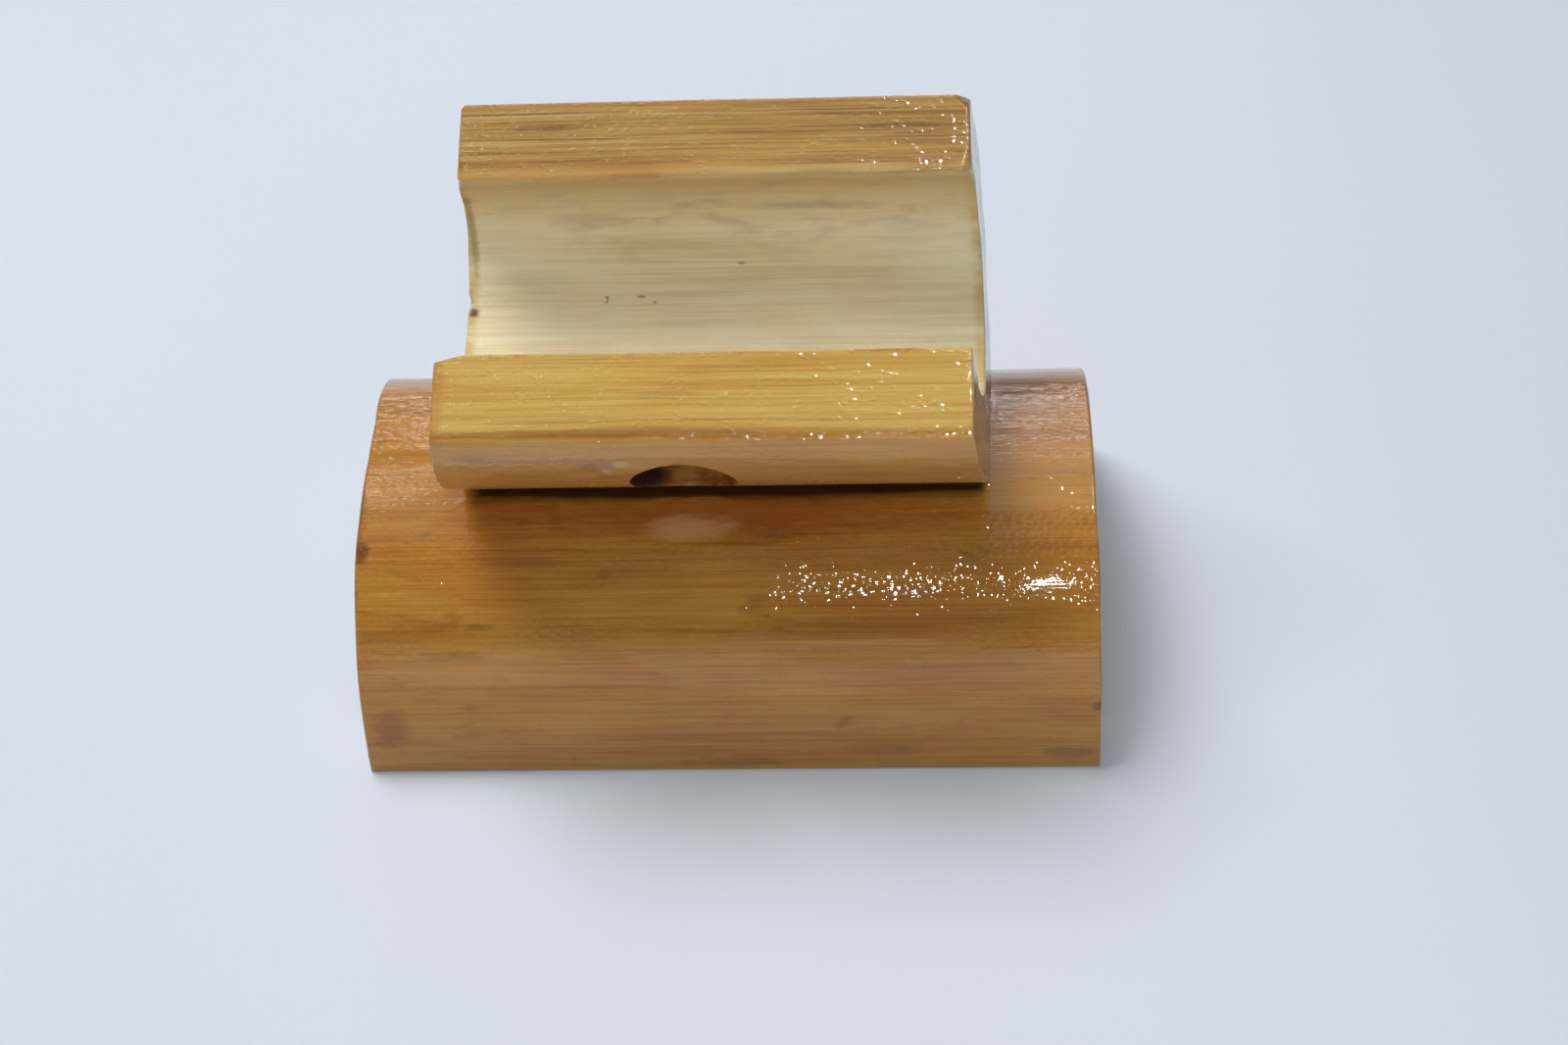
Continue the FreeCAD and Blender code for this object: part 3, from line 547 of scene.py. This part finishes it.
# ------------------------------------------------------------------ lacquered bamboo
class Culmwood:
    """Where a point lies on its culm, and the noises that the colours and the lacquer share."""

    def __init__(self, g):
        self.place = place = g.millimetres()
        zone = g.node("ShaderNodeSeparateColor", Color=g.attribute("zone", "Color"))
        self.on_skin, self.on_rim, self.on_bore = zone.outputs[0], zone.outputs[1], zone.outputs[2]
        self.on_end = g.attribute("zone", "Alpha")
        self.wall, self.edge = g.attribute("wall"), g.attribute("edge")
        self.below, self.tip = g.attribute("below"), g.attribute("tip")
        self.x, self.y = g.split(place)[:2]
        self.bands = streaks(g, place, 0.006, 0.20, 1)
        self.stripes = streaks(g, place, 0.014, 0.85, 2)
        self.hairs = streaks(g, place, 0.045, 2.5, 3, 2.0)
        self.clouds = streaks(g, place, 0.030, 0.09, 4, 4.0, 0.55, 0.7)
        self.patches = streaks(g, place, 0.075, 0.26, 5, 4.0, 0.6, 0.9)
        self.pores = g.noise(place, (1.6, 2.2, 2.2), 2.0, 0.7)


def skin_colour(g, wood, tones):
    """Soft bands and clouds under very fine fibre lines."""
    tone = weigh(g, (wood.bands, 0.8), (wood.stripes, 0.4), (wood.hairs, 1.0), (wood.clouds, 0.8))
    warmth = g.span(weigh(g, (wood.clouds, 1.2), (wood.bands, -0.7), (wood.patches, 0.6)), 0.2, 0.8)
    skin = g.blend(warmth, g.ramp(tone, tones["skin_warm"]), g.ramp(tone, tones["skin_cool"]))
    skin = g.blend(g.span(wood.patches, 0.58, 0.78, 0.0, 0.55), skin, tones["stain"])
    # painted shade: the skin is blended darker towards the bottom of the foot and the further it lies below
    # the trough's rims
    skin = g.blend(g.rest(g.span(wood.below, *tones["painted_shade_reach"])), skin, tones["dim"])
    return g.blend(g.span(wood.pores, 0.52, 0.75, 0.0, 0.22), skin, tones["stain"])


def rim_colour(g, wood, tones):
    """Sawn rims: gold and brown fibres, with thin dark slits closer together towards the skin."""
    tone = weigh(g, (wood.bands, 0.6), (wood.stripes, 1.0), (wood.hairs, 1.1), (wood.clouds, 0.8))
    at_back = g.span(wood.y, -6.0, 6.0)
    rim = g.blend(at_back, g.ramp(tone, tones["lip"]), g.ramp(tone, tones["back"]))
    slits = streaks(g, wood.place, 0.022, 2.4, 6, 3.0, 0.7)
    limit = g.span(wood.wall, 0.0, 1.0, 0.36, 0.43, smooth=False)
    dark = g.span(slits, g.plus(limit, -0.05), g.plus(limit, 0.03), 1.0, 0.0)
    dark = g.times(dark, g.span(wood.y, -6.0, 6.0, 0.30, 0.70))
    rim = g.blend(dark, rim, tones["slit"])
    rim = g.blend(g.span(wood.pores, 0.50, 0.75, 0.0, 0.16), rim, tones["outer"])
    washed = g.times(g.span(wood.wall, 0.02, 0.22, 0.85, 0.0), g.span(wood.clouds, 0.3, 0.6, 0.45, 1.0))
    rim = g.blend(g.times(washed, at_back), rim, tones["soak"])
    outer = g.times(g.span(wood.wall, 0.84, 0.97), g.span(wood.stripes, 0.35, 0.6, 0.75, 0.35))
    return g.blend(outer, rim, tones["outer"])


def bore_colour(g, wood, tones):
    """Pale and faintly ribbed, stained by the lacquer below the rims and gold at its two ends."""
    tone = weigh(g, (wood.bands, 0.8), (wood.stripes, 0.45), (wood.hairs, 0.7), (wood.clouds, 0.9))
    soak = g.times(g.span(wood.below, 1.0, 20.0, 0.95, 0.0), g.span(wood.clouds, 0.3, 0.6, 0.75, 1.0))
    bore = g.blend(soak, g.ramp(tone, tones["bore"]), tones["soak"])
    smudge = g.times(g.span(wood.patches, 0.5, 0.72), g.span(wood.below, 9.0, 20.0, 0.55, 0.1))
    bore = g.blend(smudge, bore, tones["smudge"])
    gold = g.times(g.span(wood.tip, 0.6, 2.2, 0.65, 0.0), g.span(wood.patches, 0.3, 0.6, 0.3, 1.0))
    return g.blend(gold, bore, tones["gold"])


def end_colour(g, wood, tones):
    """End grain: dots, small and crowded near the skin, large and sparse near the bore."""
    size = g.span(wood.wall, 0.0, 1.0, 0.20, 0.36, smooth=False)
    big = g.span(g.cells(wood.place, (0.03, 0.95, 0.95)), g.plus(size, -0.10), size, 1.0, 0.0)
    small = g.span(g.cells(wood.place, (0.03, 1.9, 1.9)), 0.25, 0.42, 1.0, 0.0)
    dots = g.math("ADD", g.times(big, g.span(wood.wall, 0.55, 0.85, 1.0, 0.0)),
                  g.times(small, g.span(wood.wall, 0.55, 0.85, 0.0, 1.0)), clamp=True)
    flesh = g.blend(wood.wall, tones["end_pale"], tones["end"])
    return g.blend(g.times(dots, 0.7), flesh, tones["end_dark"])


def add_marks(g, wood, colour, marks):
    """Stains, specks and scratches, and a few painted highlights, pools of light and patches of shade,
    their edges broken up by one noise.
    """
    ragged = g.noise(wood.place, (0.25, 1.3, 1.3), 3.0, 0.6)
    for centre, long, wide, depth, tint in marks:
        spot = g.times(mark(g, wood.place, centre, long, wide, ragged), depth)
        colour = g.blend(spot, colour, tint)
    return colour


def paint_glue_line_and_contact_shade(g, wood, colour, glue_line_and_contact_shade, tint):
    """A dark line under a piece that lies along the crown: painted shade of the contact wedge, and a glue
    line.
    """
    middle, half, reach = glue_line_and_contact_shade
    off = g.math("ABSOLUTE", g.plus(wood.x, -middle))
    bowed = g.plus(wood.y, g.times(g.times(off, off), -0.0003))
    near = g.span(g.plus(bowed, wood.patches), reach, reach + 0.9)
    near = g.times(near, g.span(g.plus(wood.y, wood.patches), -reach - 0.6, -reach, 1.0, 0.0))
    near = g.times(near, g.span(off, half, half - 1.5, 0.0, 0.93))
    # painted shade of the contact wedge, with a glue line, blended into the colour
    return g.blend(near, colour, tint)


def lacquer_normal(g, wood, tones):
    """Fibre under lacquer. The lacquer has long waves and a fine domed peel.

    The peel is calm in places and stronger at edges, sparse on the rims, and drawn out along the
    culm where the drops ran together.
    """
    saw = g.noise(wood.place, (0.9, 0.9, 0.35), 3.0, 0.6)
    grain = weigh(g, (wood.stripes, 0.6), (wood.hairs, 0.8))
    fibre = g.bump(g.plus(grain, g.times(g.times(saw, wood.on_end), 0.5)), FIBRE_RELIEF)
    waves = g.noise(wood.place, (0.09, 0.22, 0.22), 1.0, 0.5)
    quiet = g.noise(wood.place, (0.06, 0.14, 0.14), 2.0, 0.5)
    domes = g.span(g.cells(wood.place, (0.92, 1.08, 1.08)), 0.0, 0.8, 1.0, 0.0)
    nibs = g.span(g.cells(wood.place, (0.50, 0.56, 0.56)), 0.0, 0.25, 1.0, 0.0)
    long_peel = g.noise(wood.place, (0.45, 1.3, 1.3), 1.0, 0.5)
    runs = g.span(wood.y, tones["runs"] - 4.0, tones["runs"] + 3.0)
    beads = g.span(g.noise(wood.place, (0.35, 0.9, 0.9), 1.0, 0.5), 0.50, 0.60, 0.70, -0.30)
    beads = g.times(wood.on_rim, beads)
    flatter = g.math("MAXIMUM", g.times(runs, 0.85), g.times(beads, g.rest(runs)))
    flatter = g.plus(flatter, g.math("MINIMUM", beads, 0.0))
    peel = weigh(g, (g.times(domes, g.rest(flatter)), 0.50), (nibs, 0.36), (g.times(long_peel, runs), 0.34))
    calm = g.times(g.span(quiet, 0.34, 0.54, 0.5, 1.0), g.plus(1.0, g.times(wood.edge, 0.9)))
    for centre, long, wide in tones["calm"]:
        calm = g.times(calm, g.rest(mark(g, wood.place, centre, long, wide)))
    film = g.plus(g.times(waves, 1.3), g.times(peel, calm))
    return g.bump(film, LACQUER_RELIEF, under=fibre)


def bamboo(name, tones, coat, coat_roughness):
    """Lacquered bamboo. tones holds the colours of the skin, the sawn rims, the bore and the ends."""
    g = Graph(name)
    wood = Culmwood(g)
    long_side = g.plus(g.plus(wood.on_rim, wood.on_skin), 0.001)
    colour = g.blend(g.math("DIVIDE", wood.on_rim, long_side),
                     skin_colour(g, wood, tones), rim_colour(g, wood, tones))
    inside = g.math("DIVIDE", wood.on_bore, g.plus(wood.on_bore, long_side))
    colour = g.blend(inside, colour, bore_colour(g, wood, tones))
    colour = g.blend(wood.on_end, colour, end_colour(g, wood, tones))
    worn = g.times(wood.edge, g.span(wood.patches, 0.40, 0.62, 0.0, 0.22))
    colour = g.blend(worn, colour, tones["worn"])
    colour = add_marks(g, wood, colour, tones["marks"])
    # painted shade and a glue line along the contact wedge under the cradle
    if "glue_line_and_contact_shade" in tones:
        colour = paint_glue_line_and_contact_shade(g, wood, colour, tones["glue_line_and_contact_shade"], tones["glue_line_and_contact_shade_colour"])
    coated = lacquer_normal(g, wood, tones)
    return g.close(Base_Color=colour, Roughness=g.span(wood.hairs, 0.3, 0.7, 0.40, 0.55), Normal=coated,
                   Coat_Weight=coat, Coat_Roughness=coat_roughness, Coat_IOR=1.5,
                   Coat_Normal=coated, IOR=1.45, Specular_IOR_Level=0.1)


# ------------------------------------------------------------------ the other materials
def drilled(name):
    """The wall of the drilled hole: cut fibre ends in dark browns, with painted shade that turns its left
    part near black.
    """
    g = Graph(name)
    place = g.millimetres()
    lines = g.noise(place, (0.25, 2.2, 2.2), 3.0, 0.6)
    blotch_and_shade_edge = g.noise(place, (0.25, 0.35, 0.35), 3.0, 0.6)
    tone = weigh(g, (lines, 0.5), (blotch_and_shade_edge, 1.2))
    colour = g.ramp(tone, [(0.2, (0.080, 0.022, 0.005)), (0.5, (0.190, 0.066, 0.013)),
                           (0.8, (0.31, 0.13, 0.030))])
    along = g.plus(g.split(place)[0], g.times(blotch_and_shade_edge, 3.0))
    # painted shade: the hole wall left of about x = -4.5 mm is blended towards near black
    colour = g.blend(g.span(along, -8.5, -4.5, 0.85, 0.0), colour, (0.022, 0.006, 0.006))
    return g.close(Base_Color=colour, Roughness=0.6, Normal=g.bump(lines, 0.08 * MM), Coat_Weight=0.2,
                   Coat_Roughness=0.25, Specular_IOR_Level=0.1)


def glue_material():
    g = Graph("wood_glue")
    place = g.millimetres()
    mix = g.noise(place, (0.6, 0.6, 0.6), 4.0, 0.6)
    colour = g.ramp(mix, [(0.3, (0.10, 0.045, 0.012)), (0.7, (0.30, 0.16, 0.05))])
    return g.close(Base_Color=colour, Roughness=g.span(mix, 0.3, 0.7, 0.22, 0.4),
                   Normal=g.bump(mix, 0.2 * MM))


def screw_material():
    g = Graph("screw_steel")
    place = g.millimetres()
    wear = g.noise(place, (0.9, 0.9, 0.9), 4.0, 0.65)
    turned = g.noise(place, (0.3, 0.3, 8.0), 2.0, 0.5)
    colour = g.ramp(wear, [(0.35, (0.36, 0.29, 0.15)), (0.6, (0.62, 0.52, 0.30)),
                           (0.8, (0.70, 0.66, 0.52))])
    return g.close(Base_Color=colour, Metallic=1.0, Roughness=g.span(turned, 0.3, 0.7, 0.22, 0.42),
                   Normal=g.bump(turned, 0.03 * MM))


# ------------------------------------------------------------------ stage
def floor_material():
    g = Graph("studio_floor")
    place = g.millimetres()
    soft = g.noise(place, (0.004, 0.004, 0.004), 2.0, 0.5)
    colour = g.ramp(soft, [(0.3, (0.665, 0.727, 0.815)), (0.7, (0.685, 0.745, 0.83))])
    return g.close(Base_Color=colour, Roughness=0.55, Specular_IOR_Level=0.3)


def make_stage():
    bpy.ops.mesh.primitive_circle_add(vertices=128, radius=4.0, fill_type="NGON", location=(0, 0, 0))
    floor = bpy.context.object
    floor.name = "floor"
    floor.data.materials.append(floor_material())
    world = bpy.data.worlds.new("studio")
    bpy.context.scene.world = world
    world.use_nodes = True
    background = world.node_tree.nodes["Background"]
    background.inputs[0].default_value = (0.68, 0.84, 1.0, 1.0)
    background.inputs[1].default_value = 0.10


def area_light(name, spot, width, height, watts, colour, lights=True, mirrored=True):
    """A panel facing the object. Some only light it, some are only seen in its lacquer."""
    data = bpy.data.lights.new(name, "AREA")
    data.shape, data.size, data.size_y = "RECTANGLE", width, height
    data.energy, data.color = watts, colour
    light = bpy.data.objects.new(name, data)
    light.location = spot
    light.rotation_mode = "QUATERNION"
    light.rotation_quaternion = (Vector((0.0, 0.0, 0.03)) - Vector(spot)).to_track_quat("-Z", "Y")
    light.visible_diffuse, light.visible_glossy = lights, mirrored
    bpy.context.collection.objects.link(light)


def make_lights():
    """A lamp, soft panels, and far rows of thin strips that break up into glints in the lacquer."""
    area_light("overhead", (-0.42, 0.35, 1.25), 0.7, 0.7, 14.6, (1.0, 0.995, 0.985), mirrored=False)
    area_light("lamp", (0.10, -0.93, 1.22), 0.052, 0.030, 2.2, (1.0, 0.97, 0.92))
    area_light("fill", (0.12, -0.93, 1.20), 0.25, 0.25, 3.6, (1.0, 0.985, 0.97), mirrored=False)
    area_light("front_card", (0.0, -1.5, 0.25), 2.0, 0.46, 2.8, (0.97, 0.98, 1.0))
    area_light("front_card_top", (0.0, -1.5, 0.60), 2.0, 0.24, 0.5, (0.97, 0.98, 1.0))
    area_light("ceiling", (-0.10, 0.02, 1.30), 0.9, 0.5, 0.9, (1.0, 0.97, 0.95), lights=False)
    area_light("spark", (0.22, 0.06, 1.25), 0.045, 0.035, 2.6, (1.0, 0.96, 0.88), lights=False)
    area_light("spark_back", (0.24, 0.26, 1.25), 0.045, 0.035, 2.6, (1.0, 0.96, 0.90), lights=False)
    area_light("back_panel", (-0.02, 0.92, 0.92), 0.54, 1.45, 3.0, (1.0, 0.96, 0.97), lights=False)
    rows = [(-0.34, 0.18, climb, watts) for climb, watts in ((97, 0.09), (105, 0.13), (112, 0.13))]
    rows += [(-0.09, 0.50, climb, watts) for climb, watts in
             ((119, 0.26), (131, 0.38), (142, 0.38), (152, 0.37), (162, 0.34), (172, 0.30))]
    far = 1.3
    for number, (middle, width, climb, watts) in enumerate(rows):
        angle = math.radians(climb)
        spot = (middle, -far * math.cos(angle), far * math.sin(angle))
        area_light(f"row_{number + 1}", spot, width, 0.02, watts, (1.0, 0.95, 0.96), lights=False)


# ------------------------------------------------------------------ build
bpy.context.scene.view_settings.view_transform = "Standard"
make_camera()
make_stage()
make_lights()

# Colours by place. A mark is (centre, length, width, strength, colour) in millimetres. Most marks are
# stains and specks; the few that are painted highlights, light or shade say so above them. A calm place,
# where the lacquer lies smooth, is (centre, length, width). The glue line and contact shade is (middle,
# half its length, y of its front edge): painted shade of the contact wedge, with a glue line. runs is the
# y behind which the peel is drawn out.
base_tones = {
    "skin_warm": [(0.15, (0.330, 0.112, 0.015)), (0.5, (0.460, 0.180, 0.024)),
                  (0.85, (0.540, 0.245, 0.040))],
    "skin_cool": [(0.15, (0.310, 0.130, 0.016)), (0.5, (0.435, 0.202, 0.027)),
                  (0.85, (0.510, 0.265, 0.046))],
    # painted shade: the skin is blended darker towards the bottom of the foot
    "stain": (0.190, 0.060, 0.010), "dim": (0.10, 0.04, 0.01), "painted_shade_reach": (0.5, 13.0, 0.80, 1.0),
    "lip": [(0.2, (0.30, 0.15, 0.03)), (0.8, (0.52, 0.33, 0.12))],
    "back": [(0.2, (0.30, 0.15, 0.03)), (0.8, (0.52, 0.33, 0.12))],
    "slit": (0.10, 0.04, 0.01), "outer": (0.22, 0.10, 0.02),
    "bore": [(0.2, (0.40, 0.30, 0.15)), (0.5, (0.55, 0.44, 0.24)), (0.8, (0.66, 0.56, 0.34))],
    "soak": (0.42, 0.26, 0.09), "smudge": (0.34, 0.25, 0.15), "gold": (0.45, 0.28, 0.08),
    "end_pale": (0.62, 0.50, 0.29), "end": (0.42, 0.26, 0.10), "end_dark": (0.17, 0.08, 0.03),
    "worn": (0.50, 0.28, 0.08),
    "marks": (
        # painted shade: a darker, redder band on the crown under the lip's overhang
        ((-1.0, -14.2, 33.0), 52.0, 5.8, 0.62, (0.25, 0.050, 0.005)),
        # painted light: a pale pool on the crown under the cable hole
        ((-5.5, -16.4, 31.9), 9.5, 2.9, 0.55, (0.66, 0.38, 0.17)),
        ((7.8, -17.5, 31.4), 7.0, 0.7, 0.45, (0.14, 0.045, 0.012)),
        ((1.6, -18.4, 30.8), 12.0, 0.45, 0.40, (0.14, 0.045, 0.012)),
        ((-18.2, -22.2, 28.2), 1.6, 1.2, 0.35, (0.16, 0.06, 0.01)),
        ((-36.9, -27.6, 22.9), 3.4, 0.8, 0.50, (0.12, 0.045, 0.01)),
        ((-40.6, -30.1, 19.5), 6.5, 1.3, 0.40, (0.15, 0.055, 0.01)),
        ((-51.0, -34.9, 8.4), 4.2, 6.0, 0.50, (0.22, 0.055, 0.016)),
        ((-54.6, -19.3, 30.3), 1.8, 3.0, 0.75, (0.12, 0.03, 0.01)),
        ((54.8, -34.0, 11.6), 1.8, 1.2, 0.70, (0.12, 0.035, 0.01)),
        ((50.7, -35.7, 3.3), 6.0, 2.0, 0.40, (0.15, 0.06, 0.02)),
        ((23.5, -35.6, 4.4), 8.0, 2.2, 0.35, (0.16, 0.08, 0.015)),
        ((1.8, -35.9, 1.8), 9.0, 1.6, 0.45, (0.17, 0.07, 0.015)),
        ((-38.8, -33.9, 11.9), 2.0, 1.4, 0.30, (0.17, 0.06, 0.012)),
        ((-55.2, -13.0, 33.5), 1.6, 9.0, 0.55, (0.20, 0.060, 0.020)),
        ((-55.8, -24.5, 26.0), 1.2, 7.0, 0.45, (0.18, 0.055, 0.015)),
    ),
    # painted shade and a glue line along the contact wedge under the cradle
    "glue_line_and_contact_shade": (0.2, 38.4, -11.65), "glue_line_and_contact_shade_colour": (0.042, 0.013, 0.003), "runs": -14.0,
    "calm": (
        ((47.3, -24.0, 26.7), 6.5, 1.8),
        ((21.0, -25.3, 25.5), 2.5, 0.9),
        ((0.0, -31.3, 17.5), 90.0, 10.0),
        ((-6.0, -24.0, 26.8), 16.0, 6.0),
    ),
}
cradle_tones = {
    "skin_warm": [(0.15, (0.46, 0.190, 0.036)), (0.5, (0.59, 0.270, 0.060)), (0.85, (0.67, 0.33, 0.080))],
    "skin_cool": [(0.15, (0.44, 0.200, 0.040)), (0.5, (0.57, 0.280, 0.063)), (0.85, (0.65, 0.35, 0.090))],
    # painted shade: the skin is blended darker the further it lies below the sawn rims
    "stain": (0.24, 0.11, 0.045), "dim": (0.14, 0.05, 0.015), "painted_shade_reach": (1.0, 15.0, 1.0, 0.72),
    "lip": [(0.15, (0.46, 0.225, 0.024)), (0.5, (0.56, 0.330, 0.054)), (0.85, (0.62, 0.41, 0.092))],
    "back": [(0.15, (0.25, 0.105, 0.013)), (0.5, (0.40, 0.225, 0.042)), (0.85, (0.50, 0.345, 0.115))],
    "slit": (0.10, 0.035, 0.006), "outer": (0.34, 0.16, 0.025),
    "bore": [(0.2, (0.70, 0.58, 0.35)), (0.5, (0.82, 0.72, 0.475)), (0.8, (0.88, 0.81, 0.58))],
    "soak": (0.62, 0.42, 0.165), "smudge": (0.44, 0.34, 0.22), "gold": (0.58, 0.40, 0.09),
    "end_pale": (0.62, 0.47, 0.28), "end": (0.36, 0.19, 0.09), "end_dark": (0.20, 0.085, 0.04),
    "worn": (0.62, 0.40, 0.12),
    "marks": (
        ((-12.8, 11.6, 53.4), 1.0, 0.35, 0.65, (0.20, 0.12, 0.06)),
        ((2.4, 14.3, 57.4), 0.9, 0.40, 0.55, (0.24, 0.16, 0.08)),
        ((-10.8, 11.0, 52.8), 0.5, 0.4, 0.50, (0.20, 0.12, 0.06)),
        ((-38.2, 10.1, 51.9), 1.3, 1.0, 0.85, (0.07, 0.03, 0.01)),
        ((-37.6, 15.4, 64.0), 0.9, 12.0, 0.45, (0.20, 0.12, 0.05)),
        ((13.5, 15.3, 67.3), 15.0, 1.5, 0.38, (0.34, 0.24, 0.16)),
        ((-20.1, 15.7, 64.8), 10.0, 2.6, 0.32, (0.36, 0.27, 0.18)),
        ((24.5, -15.9, 65.5), 7.0, 0.5, 0.55, (0.32, 0.11, 0.015)),
        ((-24.6, 18.3, 79.5), 11.0, 0.75, 0.75, (0.13, 0.045, 0.008)),
        ((28.1, 17.7, 79.3), 12.0, 0.70, 0.70, (0.13, 0.045, 0.008)),
        ((-35.0, 4.6, 73.8), 9.0, 0.80, 0.60, (0.13, 0.06, 0.015)),
        ((32.3, 12.7, 77.3), 6.0, 2.0, 0.30, (0.36, 0.14, 0.03)),
        ((-33.7, -27.4, 56.7), 5.0, 1.0, 0.35, (0.22, 0.11, 0.06)),
        # painted shade on the left side of the small bump on the lip skin
        ((-16.4, -26.7, 54.2), 5.0, 1.9, 0.55, (0.26, 0.10, 0.055)),
        # painted highlight on the small raised bump of the lip skin
        ((-12.9, -26.8, 54.5), 1.9, 1.6, 0.38, (0.80, 0.50, 0.24)),
        ((-15.0, -27.2, 60.9), 36.0, 0.9, 0.60, (0.30, 0.12, 0.018)),
        ((-38.6, -21.0, 64.2), 1.8, 14.0, 0.50, (0.42, 0.17, 0.022)),
        ((-38.2, 12.0, 77.0), 1.6, 11.0, 0.45, (0.40, 0.16, 0.020)),
        # pale cut fibres at the cable hole's lower mouth, brightened further as a painted highlight
        ((-2.5, -22.1, 46.3), 6.0, 0.35, 0.75, (0.80, 0.56, 0.26)),
        ((-12.0, 11.0, 76.5), 9.0, 0.9, 0.35, (0.42, 0.16, 0.015)),
        ((-30.0, 13.3, 77.5), 7.0, 1.1, 0.35, (0.44, 0.17, 0.015)),
        ((31.0, 12.0, 77.0), 4.5, 1.6, 0.40, (0.34, 0.11, 0.02)),
        ((-18.0, 4.4, 73.7), 26.0, 0.85, 0.60, (0.78, 0.62, 0.46)),
        ((-18.0, 11.5, 76.8), 30.0, 2.0, 0.40, (0.48, 0.19, 0.018)),
        ((12.0, 14.0, 77.8), 34.0, 1.6, 0.35, (0.48, 0.20, 0.018)),
    ),
    "runs": 100.0, "calm": (),
}

foot = Foot()
base_piece = foot.build(0.55, 0.6, 0.6)
foot.tag(base_piece.data)
base_piece.data.materials.append(bamboo("base_lacquered", base_tones, 1.0, 0.05))
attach(base_piece, "root")
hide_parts("base_culm")

trough = Trough()
cradle_piece = trough.build(0.5, 0.5, 0.55)
cradle_piece.data.materials.append(bamboo("cradle_lacquered", cradle_tones, 1.0, 0.05))
drill_cable_hole(cradle_piece, drilled("drilled_bamboo"))
trough.tag(cradle_piece.data)
satin_bore(cradle_piece.data, bamboo("cradle_bore", cradle_tones, 0.25, 0.35))
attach(cradle_piece, "root")
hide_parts("cradle_culm")

for node, look in (("glue_bed", glue_material()), ("joint_screws", screw_material())):
    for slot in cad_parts[node].material_slots:
        slot.material = look
